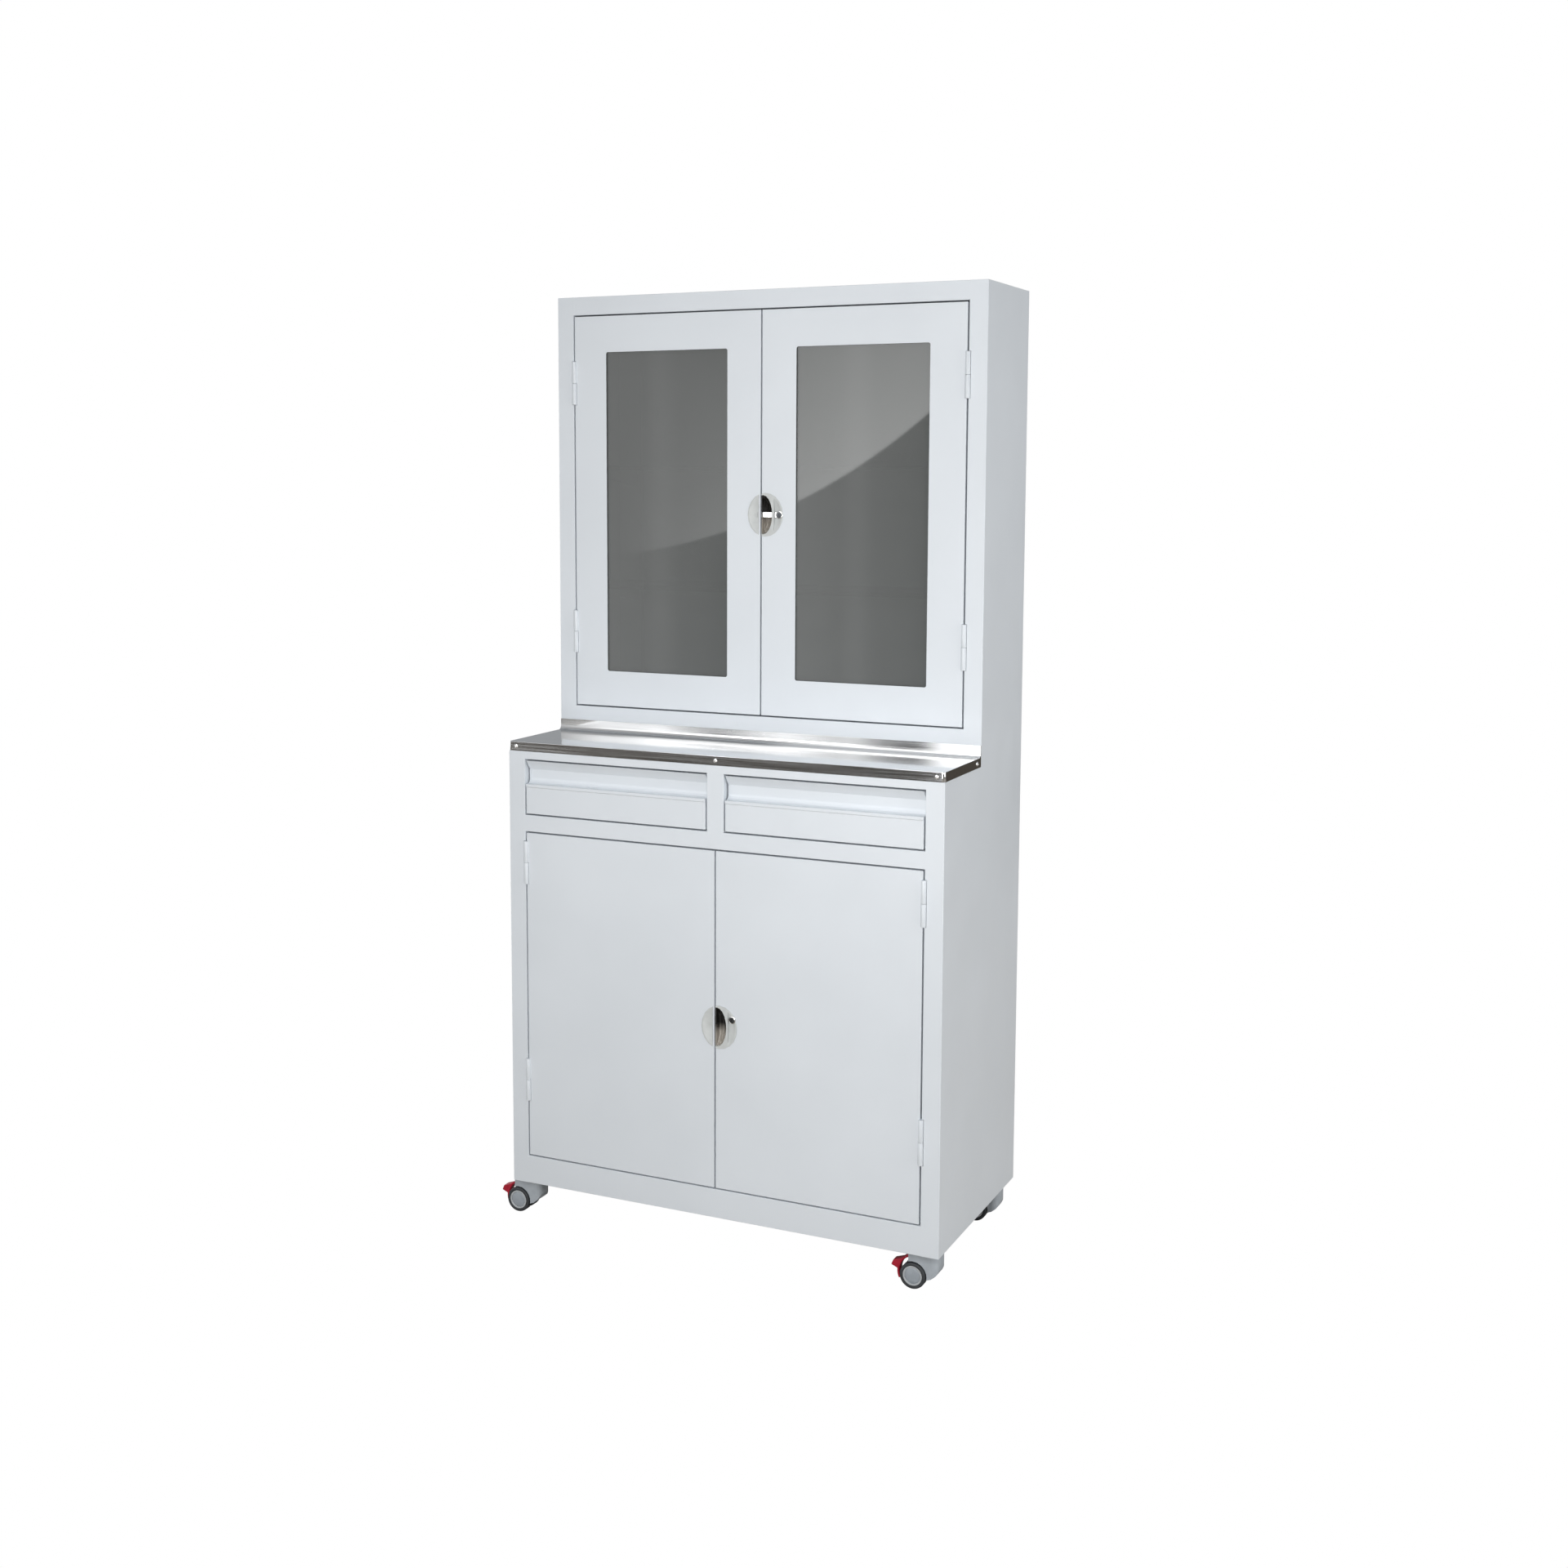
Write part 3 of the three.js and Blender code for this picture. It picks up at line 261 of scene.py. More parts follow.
def polished_stainless(name):
    """Stainless sheet, rolled and polished along its length: mirror-like, with a fine lengthwise grain and
    the slow waviness of thin sheet that makes streaks of what it reflects."""
    made, tree = new_material(name)
    place = add_node(tree, "ShaderNodeTexCoord").outputs["Object"]
    # Polishing lines are about 0.1 mm apart; they are drawn 1.5 mm apart so that they show
    along = add_node(
        tree,
        "ShaderNodeMapping",
        {"Scale": (per_metre(220), per_metre(1.5), per_metre(1.5))},
        {"Vector": place},
    )
    grain = add_node(tree, "ShaderNodeTexNoise", {"Scale": 1.0, "Detail": 4.0}, {"Vector": along.outputs[0]})
    sheet = add_node(
        tree,
        "ShaderNodeMapping",
        {"Scale": (per_metre(420), per_metre(60), per_metre(60))},
        {"Vector": place},
    )
    waves = add_node(tree, "ShaderNodeTexNoise", {"Scale": 1.0, "Detail": 1.0}, {"Vector": sheet.outputs[0]})
    bent = add_node(
        tree, "ShaderNodeBump", {"Strength": 1.0, "Distance": 0.5 * MM}, {"Height": waves.outputs["Fac"]}
    )
    relief = add_node(
        tree,
        "ShaderNodeBump",
        {"Strength": 0.10, "Distance": 0.02 * MM},
        {"Height": grain.outputs["Fac"], "Normal": bent.outputs["Normal"]},
    )
    shader = add_node(
        tree,
        "ShaderNodeBsdfPrincipled",
        {"Metallic": 1.0},
        {
            "Base Color": two_tones(tree, grain.outputs["Fac"], "#dfe0e1", "#e8e9ea"),
            "Roughness": spread(tree, grain.outputs["Fac"], 0.06, 0.13),
            "Normal": relief.outputs["Normal"],
        },
    )
    close_material(tree, shader)
    return made


def float_glass(name, tint, veil_tint, haze):
    """Float glass: tinted in its body, mirror-smooth, under an even veil that greys what lies behind it.
    Mirroring grows towards grazing sight as on any clear plate, from 4 % straight on."""
    made, tree = new_material(name)
    place = add_node(tree, "ShaderNodeTexCoord").outputs["Object"]
    facing = add_node(tree, "ShaderNodeLayerWeight", {"Blend": 0.5}).outputs["Facing"]
    fifth = add_node(tree, "ShaderNodeMath", {1: 5.0}, {0: facing}, operation="POWER").outputs[0]
    mirror = add_node(
        tree, "ShaderNodeMath", {1: 1 - FACE_MIRROR, 2: FACE_MIRROR}, {0: fifth}, operation="MULTIPLY_ADD"
    ).outputs[0]
    dust = add_node(tree, "ShaderNodeTexNoise", {"Scale": per_metre(45), "Detail": 6.0}, {"Vector": place})
    veil = spread(tree, dust.outputs["Fac"], haze * (1 - VEIL_DRIFT), haze * (1 + VEIL_DRIFT))
    body = add_node(tree, "ShaderNodeBsdfTransparent", {"Color": colour(tint)})
    film = add_node(tree, "ShaderNodeBsdfDiffuse", {"Color": colour(veil_tint)})
    seen = add_node(tree, "ShaderNodeMixShader", links={0: veil, 1: body.outputs[0], 2: film.outputs[0]})
    gloss = add_node(tree, "ShaderNodeBsdfGlossy", {"Roughness": 0.02})
    both = add_node(tree, "ShaderNodeMixShader", links={0: mirror, 1: seen.outputs[0], 2: gloss.outputs[0]})
    close_material(tree, both)
    return made


def moulded_plastic(name, dark, pale, roughness, grain_mm, depth_mm):
    """Injection moulded plastic: even colour through its body, a fine eroded grain from the tool and slight
    flow marks in its gloss."""
    made, tree = new_material(name)
    place = add_node(tree, "ShaderNodeTexCoord").outputs["Object"]
    flow = add_node(tree, "ShaderNodeTexNoise", {"Scale": per_metre(14), "Detail": 3.0}, {"Vector": place})
    fine = {"Scale": per_metre(grain_mm), "Detail": 2.0}
    grain = add_node(tree, "ShaderNodeTexNoise", fine, {"Vector": place})
    relief = add_node(
        tree, "ShaderNodeBump", {"Strength": 0.4, "Distance": depth_mm * MM}, {"Height": grain.outputs["Fac"]}
    )
    shader = add_node(
        tree,
        "ShaderNodeBsdfPrincipled",
        {"IOR": 1.49},
        {
            "Base Color": two_tones(tree, flow.outputs["Fac"], dark, pale),
            "Roughness": spread(tree, flow.outputs["Fac"], roughness - 0.05, roughness + 0.05),
            "Normal": relief.outputs["Normal"],
        },
    )
    close_material(tree, shader)
    return made


def plated_metal(name, dark, pale, roughness):
    """Steel with a bright electroplated skin: metallic, softly mottled by the bath, with fine scuffs."""
    made, tree = new_material(name)
    place = add_node(tree, "ShaderNodeTexCoord").outputs["Object"]
    mottle = add_node(tree, "ShaderNodeTexNoise", {"Scale": per_metre(9), "Detail": 4.0}, {"Vector": place})
    scuff = add_node(tree, "ShaderNodeTexNoise", {"Scale": per_metre(1.2), "Detail": 2.0}, {"Vector": place})
    relief = add_node(
        tree, "ShaderNodeBump", {"Strength": 0.15, "Distance": 0.03 * MM}, {"Height": scuff.outputs["Fac"]}
    )
    shader = add_node(
        tree,
        "ShaderNodeBsdfPrincipled",
        {"Metallic": 1.0},
        {
            "Base Color": two_tones(tree, mottle.outputs["Fac"], dark, pale),
            "Roughness": spread(tree, mottle.outputs["Fac"], roughness - 0.05, roughness + 0.06),
            "Normal": relief.outputs["Normal"],
        },
    )
    close_material(tree, shader)
    return made


def pocket_plate_with_painted_shade(name, middle):
    """Polished plate in the finger pocket, with light and shade painted into its colour: painted dark at the
    top as the shade and the dark reflection of the rim above it, and painted a lighter brownish grey towards
    the foot as the light it catches, with the streaks of polishing."""
    made, tree = new_material(name)
    place = add_node(tree, "ShaderNodeTexCoord").outputs["Object"]
    height = add_node(tree, "ShaderNodeSeparateXYZ", links={"Vector": place}).outputs["Z"]
    foot_end, top_end = (middle + reach for reach in PAINTED_SHADE_REACH)
    fade = {"From Min": foot_end, "From Max": top_end, "To Min": 1.0, "To Max": 0.0}
    lower = add_node(tree, "ShaderNodeMapRange", fade, {"Value": height}).outputs["Result"]
    streak = add_node(
        tree, "ShaderNodeMapping", {"Scale": (per_metre(3), per_metre(3), per_metre(60))}, {"Vector": place}
    )
    lines = add_node(tree, "ShaderNodeTexNoise", {"Scale": 1.0, "Detail": 3.0}, {"Vector": streak.outputs[0]})
    # Painted shade for the top of the pocket and painted light for its foot
    top = two_tones(tree, lines.outputs["Fac"], "#1c1b1a", "#3a3836")
    foot = two_tones(tree, lines.outputs["Fac"], "#8f8981", "#bdb7ae")
    blend = add_node(tree, "ShaderNodeMix", links={0: lower, 6: top, 7: foot}, data_type="RGBA")
    shader = add_node(
        tree,
        "ShaderNodeBsdfPrincipled",
        {"Metallic": 0.25},
        {
            "Base Color": blend.outputs[2],
            "Roughness": spread(tree, lines.outputs["Fac"], 0.18, 0.32),
        },
    )
    close_material(tree, shader)
    return made


def caster_nylon(name, darker_from):
    """Moulded grey nylon of the caster hoods, darker in a band at the top, just under the carcass."""
    made, tree = new_material(name)
    place = add_node(tree, "ShaderNodeTexCoord").outputs["Object"]
    height = add_node(tree, "ShaderNodeSeparateXYZ", links={"Vector": place}).outputs["Z"]
    seam = {"From Min": darker_from, "From Max": darker_from + HOOD_DARK_BAND_EDGE, "To Min": 0.0, "To Max": 1.0}
    cap = add_node(tree, "ShaderNodeMapRange", seam, {"Value": height}).outputs["Result"]
    flow = add_node(tree, "ShaderNodeTexNoise", {"Scale": per_metre(14), "Detail": 3.0}, {"Vector": place})
    grain = add_node(tree, "ShaderNodeTexNoise", {"Scale": per_metre(0.8), "Detail": 2.0}, {"Vector": place})
    relief = add_node(
        tree, "ShaderNodeBump", {"Strength": 0.4, "Distance": 0.05 * MM}, {"Height": grain.outputs["Fac"]}
    )
    body = two_tones(tree, flow.outputs["Fac"], "#aab1b8", "#b2b9bf")
    # Darker tone for a band at the top of the hood, just under the carcass
    darker_top_tone = two_tones(tree, flow.outputs["Fac"], "#8a8f93", "#94989c")
    tone = add_node(tree, "ShaderNodeMix", links={0: cap, 6: body, 7: darker_top_tone}, data_type="RGBA")
    shader = add_node(
        tree,
        "ShaderNodeBsdfPrincipled",
        {"IOR": 1.53},
        {
            "Base Color": tone.outputs[2],
            "Roughness": spread(tree, flow.outputs["Fac"], 0.42, 0.52),
            "Normal": relief.outputs["Normal"],
        },
    )
    close_material(tree, shader)
    return made


hood_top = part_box("caster_hood_rear_left")[1].z - HOOD_STEM - HOOD_GAP
painted = powder_coat("powder_coated_steel", "#dbe0e5", "#e0e5ea")
painted_inside = powder_coat("powder_coated_steel_inside", "#d2d6d9", "#d7dbde")
stainless = polished_stainless("polished_stainless_steel")
pane_glass = float_glass("grey_float_glass", "#c6c8c7", "#9d9f9e", 0.34)
shelf_glass = float_glass("clear_float_glass", "#fafcfb", "#b4c3bb", 0.01)
gasket_rubber = moulded_plastic("extruded_gasket_rubber", "#26282a", "#303335", 0.72, 1.5, 0.05)
zinc = plated_metal("bright_zinc_plated_steel", "#b9bcc0", "#d0d3d6", 0.26)
chrome = plated_metal("chromed_bolt_steel", "#e2e2e2", "#f0f0ef", 0.12)
dark_zinc = plated_metal("die_cast_plug_zinc", "#4b4d50", "#626568", 0.34)
pull_plastic = moulded_plastic("satin_grey_pull_plastic", "#c2c5c4", "#cacdcc", 0.42, 1.0, 0.03)
hood_nylon = caster_nylon("caster_hood_nylon", hood_top - HOOD_DARK_BAND)
tyre_rubber = moulded_plastic("caster_tyre_rubber", "#2c2f32", "#3a3d41", 0.6, 1.4, 0.05)
hub_plastic = moulded_plastic("caster_hub_plastic", "#9aa1a8", "#a6adb4", 0.38, 1.0, 0.03)
hub_ring = moulded_plastic("caster_hub_ring_plastic", "#b3b7ba", "#bcc0c2", 0.4, 1.0, 0.03)
pedal_nylon = moulded_plastic("red_pedal_nylon", "#a80f2a", "#bb1633", 0.38, 1.0, 0.03)


# Finishes of the CAD nodes

FINISH_BY_NAME = (
    ("glass_shelf", shelf_glass),
    ("left_pane", pane_glass),
    ("right_pane", pane_glass),
    ("_gasket", gasket_rubber),
    ("worktop", stainless),
    ("drawer_runner", zinc),
    ("lock_plug", dark_zinc),
    ("lock_bolt", chrome),
    ("_pull", pull_plastic),
    ("caster_hood", hood_nylon),
    ("brake_pedal", pedal_nylon),
    ("base_shelf", painted_inside),
    ("shelf_bracket", painted_inside),
    ("back_panel", painted_inside),
    ("drawer_tray", painted_inside),
)

for name, node in nodes.items():
    finish = next((made for key, made in FINISH_BY_NAME if key in name), painted)
    node.data.materials.clear()
    node.data.materials.append(finish)


# Shading, softened folds and edges

def plane_of(face, centre):
    """Plane of a face, rounded so that it can be looked up."""
    return (*(round(part, 2) for part in face.normal), round(face.normal.dot(centre), 4))


def shade_by_form(mesh):
    """Plane faces shade flat; narrow facets that meet their neighbours at a slight angle shade smooth."""
    work = bmesh.new()
    work.from_mesh(mesh)
    bmesh.ops.remove_doubles(work, verts=work.verts, dist=SAME_POINT)
    area, rounded = {}, set()
    for face in work.faces:
        plane = plane_of(face, face.calc_center_median())
        area[plane] = area.get(plane, 0.0) + face.calc_area()
        for edge in face.edges:
            if len(edge.link_faces) == 2 and SHALLOW_ANGLE < edge.calc_face_angle() < SHARP_ANGLE:
                rounded.add(plane)
    work.free()
    for face in mesh.polygons:
        plane = plane_of(face, face.center)
        face.use_smooth = plane in rounded and area[plane] < PLANE_AREA


for node in nodes.values():
    shade_by_form(node.data)


def width_across(face, edge):
    """Width of a face straight across from the middle of one of its edges."""
    own = next(loop for loop in face.loops if loop.edge is edge)
    start, end = own.vert.co, own.link_loop_next.vert.co
    middle = (start + end) / 2
    along = (end - start).normalized()
    inward = face.normal.cross(along)
    width = math.inf
    for loop in face.loops:
        first, second = loop.vert.co - middle, loop.link_loop_next.vert.co - middle
        before, after = first.dot(along), second.dot(along)
        if loop is own or before * after > 0 or abs(before - after) < NO_LENGTH:
            continue
        share = before / (before - after)
        across = first.lerp(second, share).dot(inward)
        if across > NO_WIDTH:
            width = min(width, across)
    return width


def fold_lines(node):
    """Pairs of end points of the outer folds of a node: convex edges between two broad faces."""
    work = bmesh.new()
    work.from_mesh(node.data)
    bmesh.ops.remove_doubles(work, verts=work.verts, dist=SAME_POINT)
    bmesh.ops.dissolve_limit(work, angle_limit=MERGED_ANGLE, verts=work.verts, edges=work.edges)
    lines = []
    for edge in work.edges:
        if len(edge.link_faces) != 2 or not edge.is_convex or edge.calc_face_angle() < FOLD_ANGLE:
            continue
        if min(width_across(face, edge) for face in edge.link_faces) > FOLD_FACE:
            lines.append((edge.verts[0].co.copy(), edge.verts[1].co.copy()))
    work.free()
    return lines


def on_line(point, line):
    """True if a point lies on a segment."""
    start, end = line
    run = end - start
    share = (point - start).dot(run) / run.length_squared
    return -END_SHARE <= share <= 1 + END_SHARE and (start + run * share - point).length < ON_LINE


def soften(name, fold_radius, edge_radius):
    """Rounds the outer folds of a node, then takes the sharpness off its other edges."""
    node = nodes[name]
    mesh = node.data
    lines = fold_lines(node) if fold_radius else []
    if lines:
        weights = mesh.attributes.new("bevel_weight_edge", "FLOAT", "EDGE")
        for edge in mesh.edges:
            ends = [mesh.vertices[index].co for index in edge.vertices]
            if any(on_line(ends[0], line) and on_line(ends[1], line) for line in lines):
                weights.data[edge.index].value = 1.0
    weld = node.modifiers.new("weld", "WELD")
    weld.merge_threshold = SAME_POINT
    flat = node.modifiers.new("flat_faces", "DECIMATE")
    flat.decimate_type = "DISSOLVE"
    flat.angle_limit = FLAT_ANGLE
    if lines:
        fold = node.modifiers.new("fold", "BEVEL")
        fold.limit_method = "WEIGHT"
        fold.width = fold_radius
        fold.segments = FOLD_STEPS
        fold.use_clamp_overlap = False
    edge_round = node.modifiers.new("edge", "BEVEL")
    edge_round.limit_method = "ANGLE"
    edge_round.angle_limit = SHARP_ANGLE
    edge_round.width = edge_radius
    edge_round.segments = EDGE_STEPS


FOLDED = ["side_panel_left", "side_panel_right", "top_panel", "hutch_floor", "base_floor"]
FOLDED += ["drawer_top_rail", "mid_rail", "drawer_mullion", "worktop", "base_shelf"]
FOLDED += [f"drawer_front_{hand}" for hand in HANDS]
DOORS = [f"{level}_{hand}_door" for level in LEVELS for hand in HANDS]
MOULDED = [f"caster_hood_{spot}" for spot in CASTERS]
PEDALS = [f"brake_pedal_front_{hand}" for hand in HANDS]
# Ground glass edges, the sheet with the shelf slots, and the wheels, which are turned anew
LEFT_SHARP = ["glass_shelf_lower", "glass_shelf_upper", "back_panel"]
LEFT_SHARP += [f"upper_{hand}_pane" for hand in HANDS]
LEFT_SHARP += [f"caster_wheels_{spot}" for spot in CASTERS]

for name in nodes:
    if name in FOLDED:
        soften(name, FOLD_RADIUS, CUT_EDGE)
    elif name in DOORS:
        soften(name, DOOR_FOLD, CUT_EDGE)
    elif name in MOULDED:
        soften(name, 0, MOULDED_EDGE)
    elif name in PEDALS:
        soften(name, 0, PEDAL_EDGE)
        # The short facets of its arcs would hold the rounding back
        nodes[name].modifiers["edge"].use_clamp_overlap = False
    elif name not in LEFT_SHARP:
        soften(name, 0, CUT_EDGE)


# Rows of fasteners

def fastener_tree(name, cross):
    """Geometry nodes for a row of domed heads, each with a cross recess or a round bore."""
    tree = bpy.data.node_groups.new(name, "GeometryNodeTree")
    tree.interface.new_socket("Geometry", in_out="OUTPUT", socket_type="NodeSocketGeometry")
    inputs = (
        ("Count", "NodeSocketInt"),
        ("Start", "NodeSocketVector"),
        ("Step", "NodeSocketVector"),
        ("Facing", "NodeSocketVector"),
        ("Head radius", "NodeSocketFloat"),
        ("Head rise", "NodeSocketFloat"),
        ("Recess length", "NodeSocketFloat"),
        ("Recess width", "NodeSocketFloat"),
        ("Finish", "NodeSocketMaterial"),
    )
    for label, kind in inputs:
        tree.interface.new_socket(label, in_out="INPUT", socket_type=kind)
    given = add_node(tree, "NodeGroupInput").outputs
    row = add_node(
        tree,
        "GeometryNodeMeshLine",
        links={"Count": given["Count"], "Start Location": given["Start"], "Offset": given["Step"]},
    )
    dome = add_node(
        tree,
        "GeometryNodeMeshUVSphere",
        {"Segments": HEAD_SEGMENTS, "Rings": HEAD_RINGS},
        {"Radius": given["Head radius"]},
    )
    flat = add_node(
        tree,
        "ShaderNodeMath",
        links={0: given["Head rise"], 1: given["Head radius"]},
        operation="DIVIDE",
    )
    squash = add_node(tree, "ShaderNodeCombineXYZ", {"X": 1.0, "Y": 1.0}, {"Z": flat.outputs[0]})
    head = add_node(
        tree,
        "GeometryNodeTransform",
        {"Rotation": (0.0, 0.0, DOME_TURN)},
        {"Geometry": dome.outputs["Mesh"], "Scale": squash.outputs[0]},
    )
    lift = add_node(tree, "ShaderNodeCombineXYZ", links={"Z": given["Head rise"]})
    cutters = []
    if cross:
        long_way = add_node(
            tree,
            "ShaderNodeCombineXYZ",
            links={"X": given["Recess length"], "Y": given["Recess width"], "Z": given["Head rise"]},
        )
        for turn, depth in ((0.0, 1.0), (math.pi / 2, SECOND_BAR)):
            bar = add_node(tree, "GeometryNodeMeshCube", links={"Size": long_way.outputs[0]})
            moved = add_node(
                tree,
                "GeometryNodeTransform",
                {"Rotation": (0.0, 0.0, turn), "Scale": (1.0, 1.0, depth)},
                {"Geometry": bar.outputs["Mesh"], "Translation": lift.outputs[0]},
            )
            cutters.append(moved)
    else:
        bore = add_node(
            tree,
            "GeometryNodeMeshCylinder",
            {"Vertices": BORE_SIDES},
            {"Radius": given["Recess width"], "Depth": given["Head rise"]},
        )
        moved = add_node(
            tree,
            "GeometryNodeTransform",
            links={"Geometry": bore.outputs["Mesh"], "Translation": lift.outputs[0]},
        )
        cutters.append(moved)
    for cutter in cutters:
        source = head.outputs[0]
        head = add_node(tree, "GeometryNodeMeshBoolean", operation="DIFFERENCE")
        tree.links.new(source, head.inputs[0])
        tree.links.new(cutter.outputs[0], head.inputs[1])
    placed = add_node(
        tree,
        "GeometryNodeInstanceOnPoints",
        links={"Points": row.outputs["Mesh"], "Instance": head.outputs[0], "Rotation": given["Facing"]},
    )
    real = add_node(tree, "GeometryNodeRealizeInstances", links={"Geometry": placed.outputs[0]})
    shaded = add_node(
        tree, "GeometryNodeSetMaterial", links={"Geometry": real.outputs[0], "Material": given["Finish"]}
    )
    add_node(tree, "NodeGroupOutput", links={"Geometry": shaded.outputs[0]})
    return tree


def add_piece(name, mesh, body, slot, *replaced):
    """Puts a finished mesh on a body, in place of CAD nodes if any are named."""
    piece = bpy.data.objects.new(name, mesh)
    bpy.context.scene.collection.objects.link(piece)
    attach(piece, body)
    if replaced:
        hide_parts(*replaced)
    return piece


def grown_piece(name, tree, settings, body, slot):
    """Runs a geometry node tree with named inputs and keeps its result as a plain mesh on a body."""
    carrier = bpy.data.objects.new(f"{name}_carrier", bpy.data.meshes.new(f"{name}_carrier"))
    bpy.context.scene.collection.objects.link(carrier)
    grower = carrier.modifiers.new("grow", "NODES")
    grower.node_group = tree
    for socket in tree.interface.items_tree:
        if socket.in_out == "INPUT":
            grower[socket.identifier] = settings[socket.name]
    carrier.update_tag()
    depsgraph = bpy.context.evaluated_depsgraph_get()
    mesh = bpy.data.meshes.new_from_object(carrier.evaluated_get(depsgraph), depsgraph=depsgraph)
    mesh.name = name
    bpy.data.objects.remove(carrier)
    return add_piece(name, mesh, body, slot)


screw_tree = fastener_tree("cross_head_screw_row", True)
rivet_tree = fastener_tree("blind_rivet_row", False)


def worktop_screws():
    """Cross-head screws that hold the turned-down edge of the worktop: three in front, one on each end."""
    low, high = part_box("worktop")
    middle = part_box("drawer_top_rail")[1].z + SCREW_ABOVE_RAIL
    reach = (high.x - low.x) / 2 - EDGE_SCREW_INSET
    centre = (low.x + high.x) / 2
    head = {
        "Head radius": SCREW_HEAD,
        "Head rise": SCREW_RISE,
        "Recess length": SCREW_RECESS[0],
        "Recess width": SCREW_RECESS[1],
        "Finish": chrome,
    }
    front = {
        "Count": FRONT_SCREWS,
        "Start": (centre - reach, low.y, middle),
        "Step": (2 * reach / (FRONT_SCREWS - 1), 0.0, 0.0),
        "Facing": (math.pi / 2, 0.0, 0.0),
    }
    grown_piece("worktop_screws_front", screw_tree, {**head, **front}, "carcass", "plated_steel")
    for hand, x, turn in (("left", low.x, -math.pi / 2), ("right", high.x, math.pi / 2)):
        end = {
            "Count": 1,
            "Start": (x, high.y - END_SCREW_FROM_REAR, middle),
            "Step": (0.0, 0.0, 0.0),
            "Facing": (0.0, turn, 0.0),
        }
        grown_piece(f"worktop_screw_{hand}", screw_tree, {**head, **end}, "carcass", "plated_steel")


def back_rivets():
    """Blind rivets along the rear returns of the side panels, which hold the back sheet."""
    low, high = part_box("side_panel_left")
    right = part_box("side_panel_right")[1].x
    bottom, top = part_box("back_panel")[0].z + RIVET_FROM_END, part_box("back_panel")[1].z - RIVET_FROM_END
    pitch = (top - bottom) / (RIVET_COUNT - 1)
    for hand, x in (("left", low.x + RIVET_INSET), ("right", right - RIVET_INSET)):
        settings = {
            "Count": RIVET_COUNT,
            "Start": (x, high.y, bottom),
            "Step": (0.0, 0.0, pitch),
            "Facing": (-math.pi / 2, 0.0, 0.0),
            "Head radius": RIVET_HEAD,
            "Head rise": RIVET_RISE,
            "Recess length": RIVET_BORE,
            "Recess width": RIVET_BORE,
            "Finish": zinc,
        }
        grown_piece(f"back_rivets_{hand}", rivet_tree, settings, "carcass", "plated_steel")


worktop_screws()
back_rivets()


# Turned pieces

def turned_mesh(name, profiles, centre, axis):
    """A mesh turned about an axis: each profile is a closed run of (radius, station along the axis) points,
    with the finish of its faces."""
    mesh = bpy.data.meshes.new(name)
    work = bmesh.new()
    along = Vector(axis).normalized()
    out = along.orthogonal().normalized()
    aside = along.cross(out)
    finishes = []
    for points, finish in profiles:
        if finish not in finishes:
            finishes.append(finish)
        rings = []
        for radius, station in points:
            base = centre + along * station
            if radius == 0:
                rings.append([work.verts.new(base)])
                continue
            ring = []
            for step in range(TURNED_STEPS):
                turn = 2 * math.pi * step / TURNED_STEPS
                ring.append(work.verts.new(base + radius * (math.cos(turn) * out + math.sin(turn) * aside)))
            rings.append(ring)
        for before, after in zip(rings, rings[1:] + rings[:1]):
            if len(before) == 1 and len(after) == 1:
                continue
            for step in range(TURNED_STEPS):
                corners = []
                for ring, index in ((before, step), (before, step + 1), (after, step + 1), (after, step)):
                    corner = ring[index % len(ring)]
                    if corner not in corners:
                        corners.append(corner)
                face = work.faces.new(corners)
                face.material_index = finishes.index(finish)
                face.smooth = True
    bmesh.ops.recalc_face_normals(work, faces=work.faces)
    work.to_mesh(mesh)
    work.free()
    for finish in finishes:
        mesh.materials.append(finish)
    mesh.set_sharp_from_angle(angle=SHARP_ANGLE)
    return mesh


def rounded_corner(centre, radius, start, end, steps):
    """Points of an arc in a profile, with angles in degrees."""
    points = []
    for step in range(steps + 1):
        turn = math.radians(start + (end - start) * step / steps)
        points.append((centre[0] + radius * math.cos(turn), centre[1] + radius * math.sin(turn)))
    return points


def stepped(radius, face, steps):
    """Points of a profile, each given in mm out from a radius and in from a face."""
    return [(radius + out * MM, face - sink * MM) for out, sink in steps]


